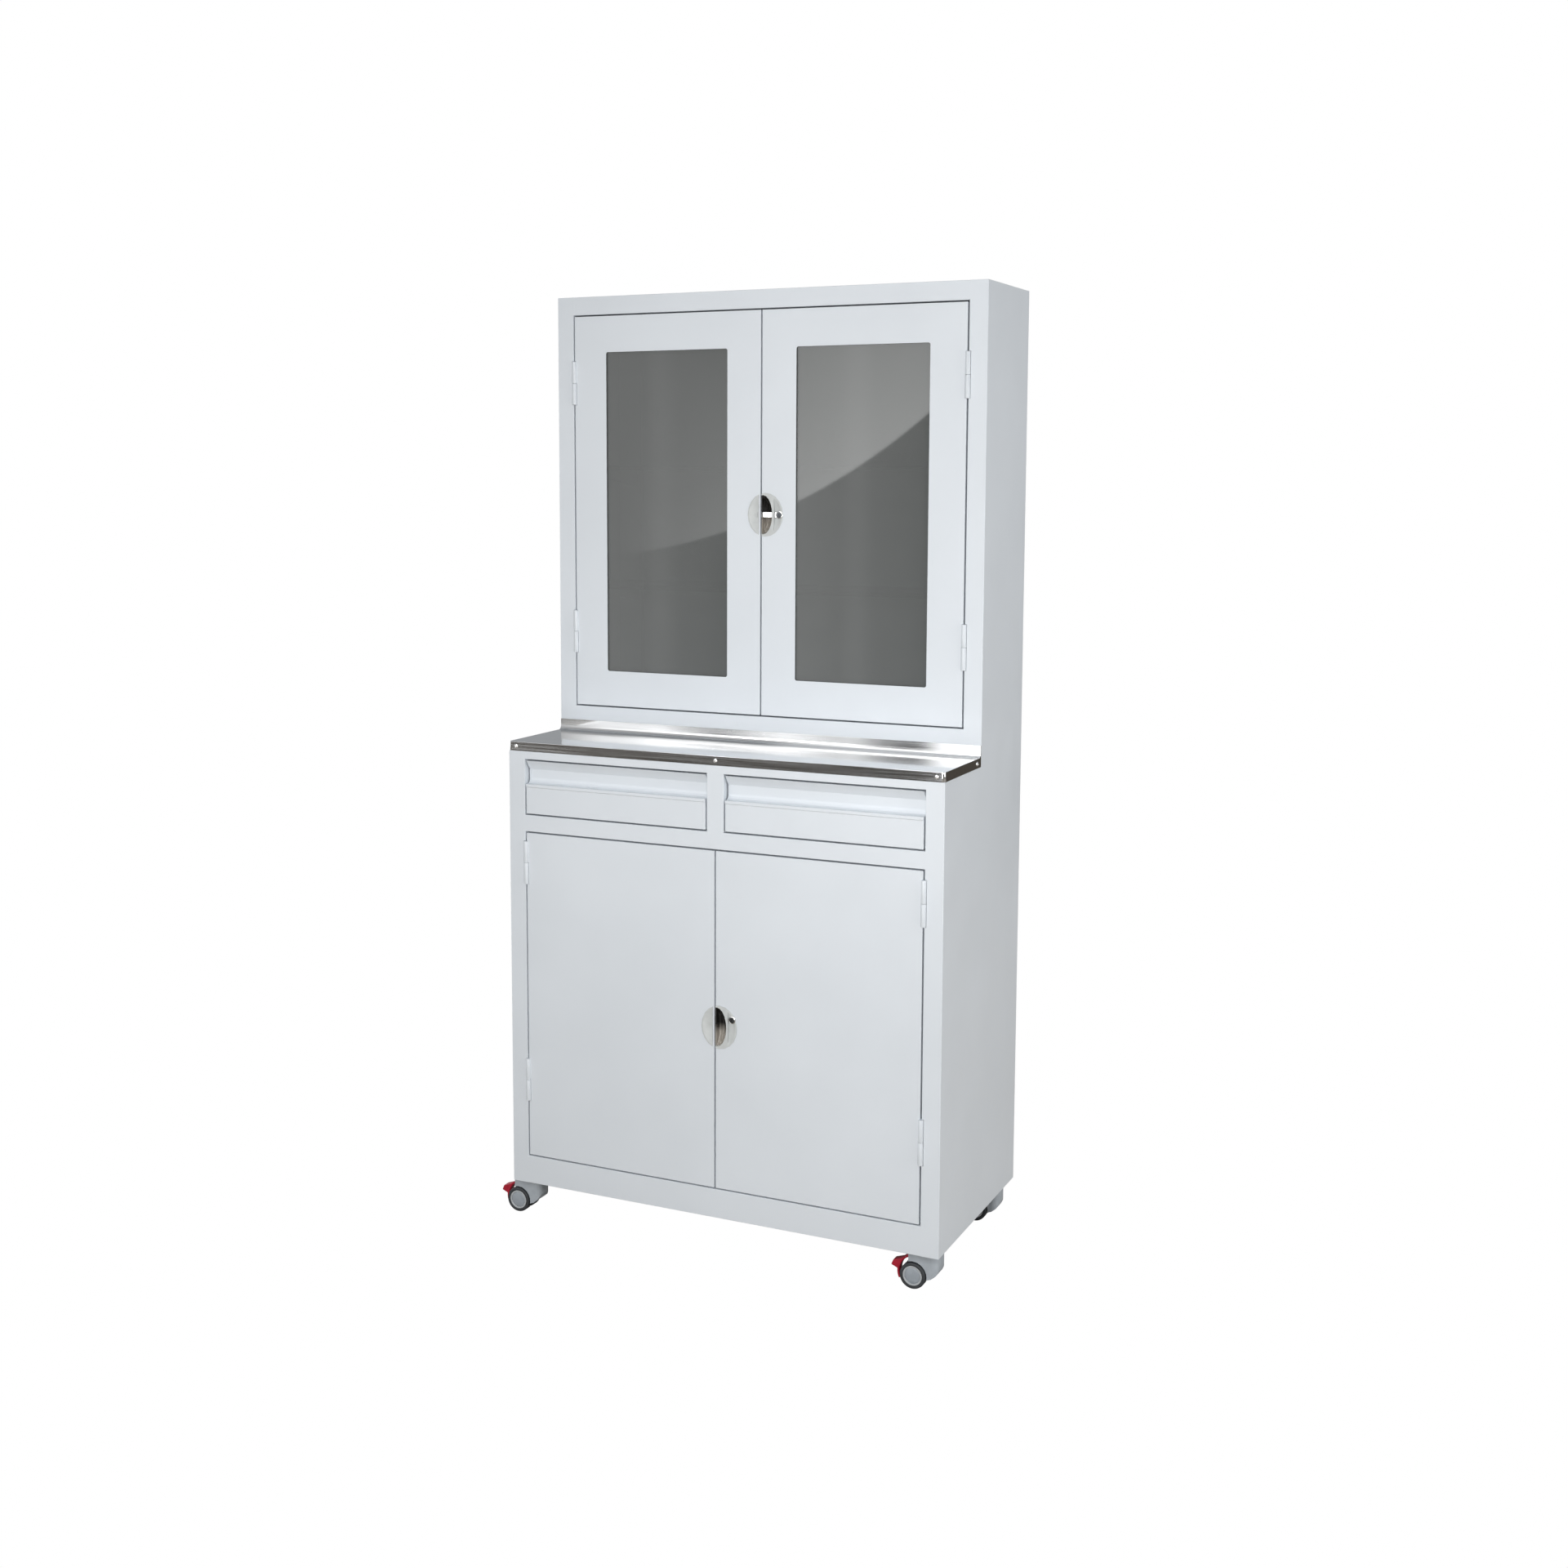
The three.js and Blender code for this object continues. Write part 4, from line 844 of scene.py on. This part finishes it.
def caster_wheels(spot):
    """Twin wheels on their axle: rubber tyres with rounded shoulders, hubs with a raised ring and a cap."""
    low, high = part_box(f"caster_wheels_{spot}")
    centre = (low + high) / 2
    radius = (high.z - low.z) / 2
    outer = (high.y - low.y) / 2
    inner = WHEEL_INNER_FACE
    shoulder, heel = TYRE_SHOULDER, TYRE_HEEL
    dome_share, dome_sink, crown_sink = HUB_DOME
    tread = stepped(HUB_RADIUS, outer, TYRE_SEAT)
    tread += rounded_corner((radius - shoulder, outer - shoulder), shoulder, 90, 0, SHOULDER_STEPS)
    tread += rounded_corner((radius - heel, inner + heel), heel, 0, -90, HEEL_STEPS)
    tread += [(HUB_RADIUS, inner)]
    ring = [(HUB_RADIUS - HUB_FIT, inner + HUB_RING_SINK)]
    ring += stepped(HUB_RADIUS, outer, HUB_RING_RIM)
    ring += stepped(HUB_CAP_RADIUS, outer, HUB_RING_STEP)
    ring += [(HUB_CAP_RADIUS, inner + HUB_RING_SINK)]
    cap = [(0.0, inner + HUB_CAP_SINK), (HUB_CAP_RADIUS - HUB_FIT, inner + HUB_CAP_SINK)]
    cap += stepped(HUB_CAP_RADIUS, outer, HUB_CAP_RIM)
    cap += [(HUB_CAP_RADIUS * dome_share, outer - dome_sink), (0.0, outer - crown_sink)]
    tyres, hubs = [], []
    for side in (-1, 1):
        tyres.append(([(r, side * w) for r, w in tread], tyre_rubber))
        hubs.append(([(r, side * w) for r, w in ring], hub_ring))
        hubs.append(([(r, side * w) for r, w in cap], hub_plastic))
    axle = [(0.0, -inner), (AXLE_RADIUS, -inner), (AXLE_RADIUS, inner), (0.0, inner)]
    hubs.append((axle, zinc))
    body = f"wheels_{spot}"
    replaced = f"caster_wheels_{spot}"
    tyre_mesh = turned_mesh(f"caster_tyres_{spot}", tyres, centre, (0, 1, 0))
    hub_mesh = turned_mesh(f"caster_hubs_{spot}", hubs, centre, (0, 1, 0))
    add_piece(f"caster_tyres_{spot}", tyre_mesh, body, "wheel_plastic", replaced)
    add_piece(f"caster_hubs_{spot}", hub_mesh, body, "hood_plastic", replaced)


def swivel_cup(spot):
    """Pressed bearing cup between a caster's hood and the carcass."""
    low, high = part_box(f"caster_hood_{spot}")
    centre = Vector((high.x - HOOD_NOSE, (low.y + high.y) / 2, hood_top))
    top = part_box("base_floor")[0].z - hood_top - CUP_AIR
    cup = [(CUP_BORE, CUP_FOOT), (CUP_FLANGE, CUP_FOOT), (CUP_FLANGE, CUP_FLANGE_TOP)]
    cup += [(CUP_SHOULDER, CUP_SHOULDER_TOP), (CUP_NECK, top), (CUP_BORE, top)]
    mesh = turned_mesh(f"swivel_cup_{spot}", [(cup, zinc)], centre, (0, 0, 1))
    add_piece(f"swivel_cup_{spot}", mesh, f"caster_{spot}", "plated_steel")


def plug_ring(level):
    """Chromed ring round the lock plug."""
    low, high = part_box(f"{level}_lock_plug")
    centre = Vector(((low.x + high.x) / 2, low.y + RING_SET_BACK, (low.z + high.z) / 2))
    bore = (high.x - low.x) / 2 + PLUG_ROOM
    ring = [(bore + out * MM, station * MM) for out, station in PLUG_RING]
    mesh = turned_mesh(f"{level}_plug_ring", [(ring, chrome)], centre, (0, 1, 0))
    add_piece(f"{level}_plug_ring", mesh, f"{level}_right_door", "plated_steel")


# Pockets of the pulls and welds of the frame

def pocket_lining(level):
    """Polished sheet that lines the finger pocket: the rear half of an oval hollow, closed by a wall at the
    meeting edge that has a slot where the bolt crosses the hollow."""
    low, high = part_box(f"{level}_right_pull")
    meeting = (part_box(f"{level}_left_door")[1].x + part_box(f"{level}_right_door")[0].x) / 2
    centre = Vector((meeting + POCKET_CENTRE, low.y, (low.z + high.z) / 2))
    wall = POCKET_WALL - POCKET_CENTRE
    half_x, half_y, half_z = POCKET_HALF
    bolt_low, bolt_high = (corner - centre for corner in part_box(f"{level}_lock_bolt"))
    slot_y = (bolt_low.y - BOLT_ROOM, bolt_high.y + BOLT_ROOM)
    slot_z = (bolt_low.z - BOLT_ROOM, bolt_high.z + BOLT_ROOM)
    latitudes = range(-POCKET_LATITUDE, POCKET_LATITUDE + 1, POCKET_ROW)
    heights = [half_z * math.sin(math.radians(latitude)) for latitude in latitudes]
    heights = sorted(heights + list(slot_z))
    mesh = bpy.data.meshes.new(f"{level}_pocket_lining")
    work = bmesh.new()
    rows = []
    for z in heights:
        share = math.sqrt(1 - (z / half_z) ** 2)
        reach = math.acos(max(-1.0, wall / (half_x * share)))
        row = []
        for step in range(POCKET_STEPS + 1):
            turn = reach * step / POCKET_STEPS
            row.append((half_x * share * math.cos(turn), half_y * share * math.sin(turn), z))
        deep = row[-1][1]
        row += [(row[-1][0], min(y, deep), z) for y in (slot_y[1], slot_y[0], 0.0)]
        rows.append([work.verts.new(centre + Vector(point)) for point in row])
    for below, above in zip(rows, rows[1:]):
        middle = (below[0].co.z + above[0].co.z) / 2 - centre.z
        for step in range(len(below) - 1):
            crosses = step == POCKET_STEPS + 1 and slot_z[0] < middle < slot_z[1]
            quad = (below[step], below[step + 1], above[step + 1], above[step])
            corners = list({tuple(corner.co): corner for corner in quad}.values())
            if not crosses and len(corners) > 2:
                work.faces.new(corners).smooth = True
    bmesh.ops.remove_doubles(work, verts=work.verts, dist=SAME_CORNER)
    loose = [vert for vert in work.verts if not vert.link_faces]
    bmesh.ops.delete(work, geom=loose, context="VERTS")
    work.to_mesh(mesh)
    work.free()
    # The lining's colour is painted shade at the top and painted light towards the foot
    mesh.materials.append(pocket_plate_with_painted_shade(f"painted_shade_pocket_plate_{level}", centre.z))
    mesh.set_sharp_from_angle(angle=SHARP_ANGLE)
    piece = add_piece(f"{level}_pocket_lining", mesh, f"{level}_right_door", "plated_steel")
    sheet = piece.modifiers.new("sheet", "SOLIDIFY")
    sheet.thickness = POCKET_SHEET
    sheet.offset = -1.0


def ground_welds():
    """Butt joints of the front frame, welded, ground flush and painted over."""
    mesh = bpy.data.meshes.new("ground_welds")
    work = bmesh.new()

    def plate(x, z, front):
        """Thin plate over a joint, between two stations across and two heights, on a front plane."""
        size = Matrix.Diagonal((x[1] - x[0], sum(WELD_SKIN), z[1] - z[0], 1.0))
        middle = (WELD_SKIN[1] - WELD_SKIN[0]) / 2
        place = Matrix.Translation(((x[0] + x[1]) / 2, front + middle, (z[0] + z[1]) / 2))
        bmesh.ops.create_cube(work, size=1.0, matrix=place @ size)

    left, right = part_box("side_panel_left")[1].x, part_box("side_panel_right")[0].x
    for name in ("top_panel", "hutch_floor", "drawer_top_rail", "mid_rail", "base_floor"):
        low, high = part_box(name)
        for x in (left, right):
            plate((x - WELD_REACH, x + WELD_REACH), (low.z + FOLD_RADIUS, high.z - FOLD_RADIUS), low.y)
    low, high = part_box("drawer_mullion")
    for z in (low.z, high.z):
        plate((low.x + FOLD_RADIUS, high.x - FOLD_RADIUS), (z - WELD_REACH, z + WELD_REACH), low.y)
    work.to_mesh(mesh)
    work.free()
    mesh.materials.append(painted)
    add_piece("ground_welds", mesh, "carcass", "painted_steel")


for level in LEVELS:
    pocket_lining(level)
ground_welds()

for spot in CASTERS:
    caster_wheels(spot)
    swivel_cup(spot)
for level in LEVELS:
    plug_ring(level)


# Stage, light and camera

CAMERA_AT = Vector((1561.45, -3344.3, 1484.1)) * MM
CAMERA_YAW = math.radians(25.583)
CAMERA_PITCH = math.radians(-6.257)
CAMERA_ROLL = math.radians(0.099)
CAMERA_SENSOR = 36.0
CAMERA_LENS = 43.45
CAMERA_SHIFT = (0.03125, -0.0646)
FLOOR_RADIUS = 30.0
FLOOR_SIDES = 96
WORLD_LIGHT = 0.38

# Dark cards that the worktop's edges mirror, in metres: corners, and where the front one is graded across
FRONT_FLAG = [(-6, -5, 0.02), (3, -5, 0.02), (3, -5, 0.9), (-6, -5, 0.9)]
REAR_FLAG = [(0.8, 3.5, 0.02), (5, 3.5, 0.02), (5, 3.5, 0.9), (0.8, 3.5, 0.9)]
FLAG_GRADE = (-3.0, -1.4)

# Softboxes: place, aim and size in metres, and power in watts
SOFTBOXES = {
    "side_softbox": ((3.2, -0.4, 1.3), (0.4, 0.0, 1.0), (2.0, 2.0), 40),
    "left_softbox": ((-1.5, -3.0, 1.4), (0.0, -0.2, 1.0), (1.6, 1.6), 17),
    "near_softbox": ((0.7, -1.6, 1.15), (0.1, -0.2, 0.95), (0.8, 0.5), 7.0),
    "low_softbox": ((0.4, -2.6, 0.5), (0.1, -0.2, 0.8), (1.4, 0.6), 13.7),
    "overhead_softbox": ((0.2, -0.9, 3.6), (0.0, -0.1, 0.6), (2.6, 2.2), 8),
    "far_side_softbox": ((-3.2, 0.9, 1.3), (-0.4, 0.1, 0.9), (2.0, 2.0), 17),
    "back_softbox": ((-0.6, 3.2, 1.8), (0.0, 0.2, 1.0), (2.0, 2.0), 55),
}

# Card that the panes mirror, in metres: its edges left, right, foot and top, its round field, which grows
# brighter across a span and falls off inwards from its rim, and its stripes
SHEEN_EDGES = (-3.2, 1.0, 0.8, 4.5)
SHEEN_CENTRE = (-1.6112, -2.0, 3.2177)
SHEEN_RADIUS = 1.9986
SHEEN_RIM = 0.004
FIELD_GLOW = 4.3
FIELD_SPAN = (-1.40, -0.62)
FIELD_FALL = 0.6
FIELD_INNER_SHARE = 0.3
# Brightness of the card from left to right: a stripe and its dark side for each pane
SHEEN_STRIPES = (
    (-1.60, 0.50), (-1.45, 1.30), (-1.29, 0.95), (-1.265, 1.18), (-1.235, 1.15), (-1.17, 0.58), (-1.03, 0.18),
    (-0.80, 1.35), (-0.63, 0.80), (-0.59, 1.08), (-0.56, 1.02), (-0.52, 0.53), (-0.35, 0.0),
    (-0.30, 1.80),
)


def photo_camera():
    """Camera at the photograph's place and angle."""
    lens = bpy.data.cameras.new("camera")
    lens.lens = CAMERA_LENS
    lens.sensor_width = CAMERA_SENSOR
    lens.shift_x, lens.shift_y = CAMERA_SHIFT
    camera = bpy.data.objects.new("camera", lens)
    bpy.context.scene.collection.objects.link(camera)
    turn = Matrix.Rotation(CAMERA_YAW, 4, "Z")
    turn @= Matrix.Rotation(math.pi / 2 + CAMERA_PITCH, 4, "X")
    turn @= Matrix.Rotation(CAMERA_ROLL, 4, "Z")
    camera.matrix_world = Matrix.Translation(CAMERA_AT) @ turn
    bpy.context.scene.camera = camera


def softbox(name, place, aim, size, power):
    """Rectangular white area light."""
    lamp = bpy.data.lights.new(name, "AREA")
    lamp.shape = "RECTANGLE"
    lamp.size, lamp.size_y = size
    lamp.energy = power
    box = bpy.data.objects.new(name, lamp)
    bpy.context.scene.collection.objects.link(box)
    box.location = place
    box.rotation_euler = (Vector(aim) - Vector(place)).to_track_quat("-Z", "Y").to_euler()


def mirror_only(card):
    """Keeps a stage card out of sight and shade, so that only glossy surfaces show it."""
    card.visible_camera = False
    card.visible_diffuse = False
    card.visible_shadow = False
    card.visible_transmission = False
    card.visible_volume_scatter = False
    card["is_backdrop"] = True


def stage_card(name, corners):
    """Flat four-cornered card of the stage, with an empty material and its tree."""
    mesh = bpy.data.meshes.new(name)
    mesh.from_pydata(corners, [], [(0, 1, 2, 3)])
    card = bpy.data.objects.new(name, mesh)
    bpy.context.scene.collection.objects.link(card)
    made, tree = new_material(f"{name}_cloth")
    mesh.materials.append(made)
    mirror_only(card)
    return tree


def sheen_card():
    """Large pale card to the front left that the panes mirror: a round bright field whose rim crosses them
    as a curve, and two soft upright stripes."""
    left, right, foot, top = SHEEN_EDGES
    plane = SHEEN_CENTRE[1]
    corners = [(left, plane, foot), (right, plane, foot), (right, plane, top), (left, plane, top)]
    tree = stage_card("sheen_card", corners)
    place = add_node(tree, "ShaderNodeTexCoord").outputs["Object"]
    across = add_node(tree, "ShaderNodeSeparateXYZ", links={"Vector": place})
    from_centre = add_node(
        tree, "ShaderNodeVectorMath", {1: SHEEN_CENTRE}, {0: place}, operation="DISTANCE"
    ).outputs["Value"]
    edge = (SHEEN_RADIUS - SHEEN_RIM, SHEEN_RADIUS + SHEEN_RIM)
    rim = {"From Min": edge[0], "From Max": edge[1], "To Min": 1.0, "To Max": 0.0}
    inside = add_node(tree, "ShaderNodeMapRange", rim, {"Value": from_centre}).outputs["Result"]
    side = {"From Min": FIELD_SPAN[0], "From Max": FIELD_SPAN[1], "To Min": 0.0, "To Max": FIELD_GLOW}
    field = add_node(tree, "ShaderNodeMapRange", side, {"Value": across.outputs["X"]}).outputs["Result"]
    fall = {
        "From Min": SHEEN_RADIUS - FIELD_FALL,
        "From Max": SHEEN_RADIUS,
        "To Min": FIELD_INNER_SHARE,
        "To Max": 1.0,
    }
    towards_rim = add_node(tree, "ShaderNodeMapRange", fall, {"Value": from_centre}).outputs["Result"]
    shaded = add_node(
        tree, "ShaderNodeMath", links={0: field, 1: towards_rim}, operation="MULTIPLY"
    ).outputs[0]
    first, last = SHEEN_STRIPES[0][0], SHEEN_STRIPES[-1][0]
    span = {"From Min": first, "From Max": last}
    share = add_node(tree, "ShaderNodeMapRange", span, {"Value": across.outputs["X"]}).outputs["Result"]
    stripes = add_node(tree, "ShaderNodeValToRGB", links={"Fac": share})
    stops = stripes.color_ramp.elements
    while len(stops) < len(SHEEN_STRIPES):
        stops.new(0.5)
    for stop, (x, glow) in zip(stops, SHEEN_STRIPES):
        stop.position = (x - first) / (last - first)
        stop.color = (glow, glow, glow, 1.0)
    total = add_node(
        tree,
        "ShaderNodeMath",
        links={0: shaded, 1: inside, 2: stripes.outputs["Color"]},
        operation="MULTIPLY_ADD",
    )
    close_material(tree, add_node(tree, "ShaderNodeEmission", links={"Strength": total.outputs[0]}))


def floor():
    """Plain floor, seen as white without shadow, which throws back less light than it shows."""
    mesh = bpy.data.meshes.new("floor")
    work = bmesh.new()
    bmesh.ops.create_circle(work, cap_ends=True, segments=FLOOR_SIDES, radius=FLOOR_RADIUS)
    work.to_mesh(mesh)
    work.free()
    plane = bpy.data.objects.new("floor", mesh)
    bpy.context.scene.collection.objects.link(plane)
    made, tree = new_material("pale_studio_floor")
    path = add_node(tree, "ShaderNodeLightPath")
    bright = add_node(tree, "ShaderNodeEmission", {"Color": colour("#ffffff"), "Strength": 1.0})
    bounce = add_node(tree, "ShaderNodeBsdfDiffuse", {"Color": colour("#a59f97")})
    seen = add_node(
        tree,
        "ShaderNodeMixShader",
        links={0: path.outputs["Is Camera Ray"], 1: bounce.outputs[0], 2: bright.outputs[0]},
    )
    close_material(tree, seen)
    mesh.materials.append(made)
    plane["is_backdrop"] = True


def dark_flag(name, corners, left_tone, right_tone):
    """Dark upright card, graded from left to right, which puts the dark lines into the worktop's edges."""
    tree = stage_card(name, corners)
    place = add_node(tree, "ShaderNodeTexCoord").outputs["Object"]
    across = add_node(tree, "ShaderNodeSeparateXYZ", links={"Vector": place}).outputs["X"]
    span = {"From Min": FLAG_GRADE[0], "From Max": FLAG_GRADE[1]}
    share = add_node(tree, "ShaderNodeMapRange", span, {"Value": across}).outputs["Result"]
    tone = two_tones(tree, share, left_tone, right_tone, 0.0, 1.0)
    close_material(tree, add_node(tree, "ShaderNodeBsdfDiffuse", links={"Color": tone}))


def studio_world():
    """Soft white surround, seen as plain white behind the object."""
    world = bpy.data.worlds.new("studio")
    bpy.context.scene.world = world
    world.use_nodes = True
    tree = world.node_tree
    tree.nodes.clear()
    path = add_node(tree, "ShaderNodeLightPath")
    soft = add_node(tree, "ShaderNodeBackground", {"Color": colour("#f2f6fa"), "Strength": WORLD_LIGHT})
    white = add_node(tree, "ShaderNodeBackground", {"Color": colour("#ffffff"), "Strength": 1.0})
    seen = add_node(
        tree,
        "ShaderNodeMixShader",
        links={0: path.outputs["Is Camera Ray"], 1: soft.outputs[0], 2: white.outputs[0]},
    )
    add_node(tree, "ShaderNodeOutputWorld", links={"Surface": seen.outputs[0]})


photo_camera()
floor()
sheen_card()
dark_flag("front_flag", FRONT_FLAG, "#7d766c", "#4f4a44")
dark_flag("rear_flag", REAR_FLAG, "#6b645c", "#6b645c")
studio_world()
for name, (place, aim, size, power) in SOFTBOXES.items():
    softbox(name, place, aim, size, power)
bpy.context.scene.view_settings.view_transform = "Standard"

size = {
    "cad": [list(corner) for corner in cad_box],
    "visual": [list(corner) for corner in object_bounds()],
}
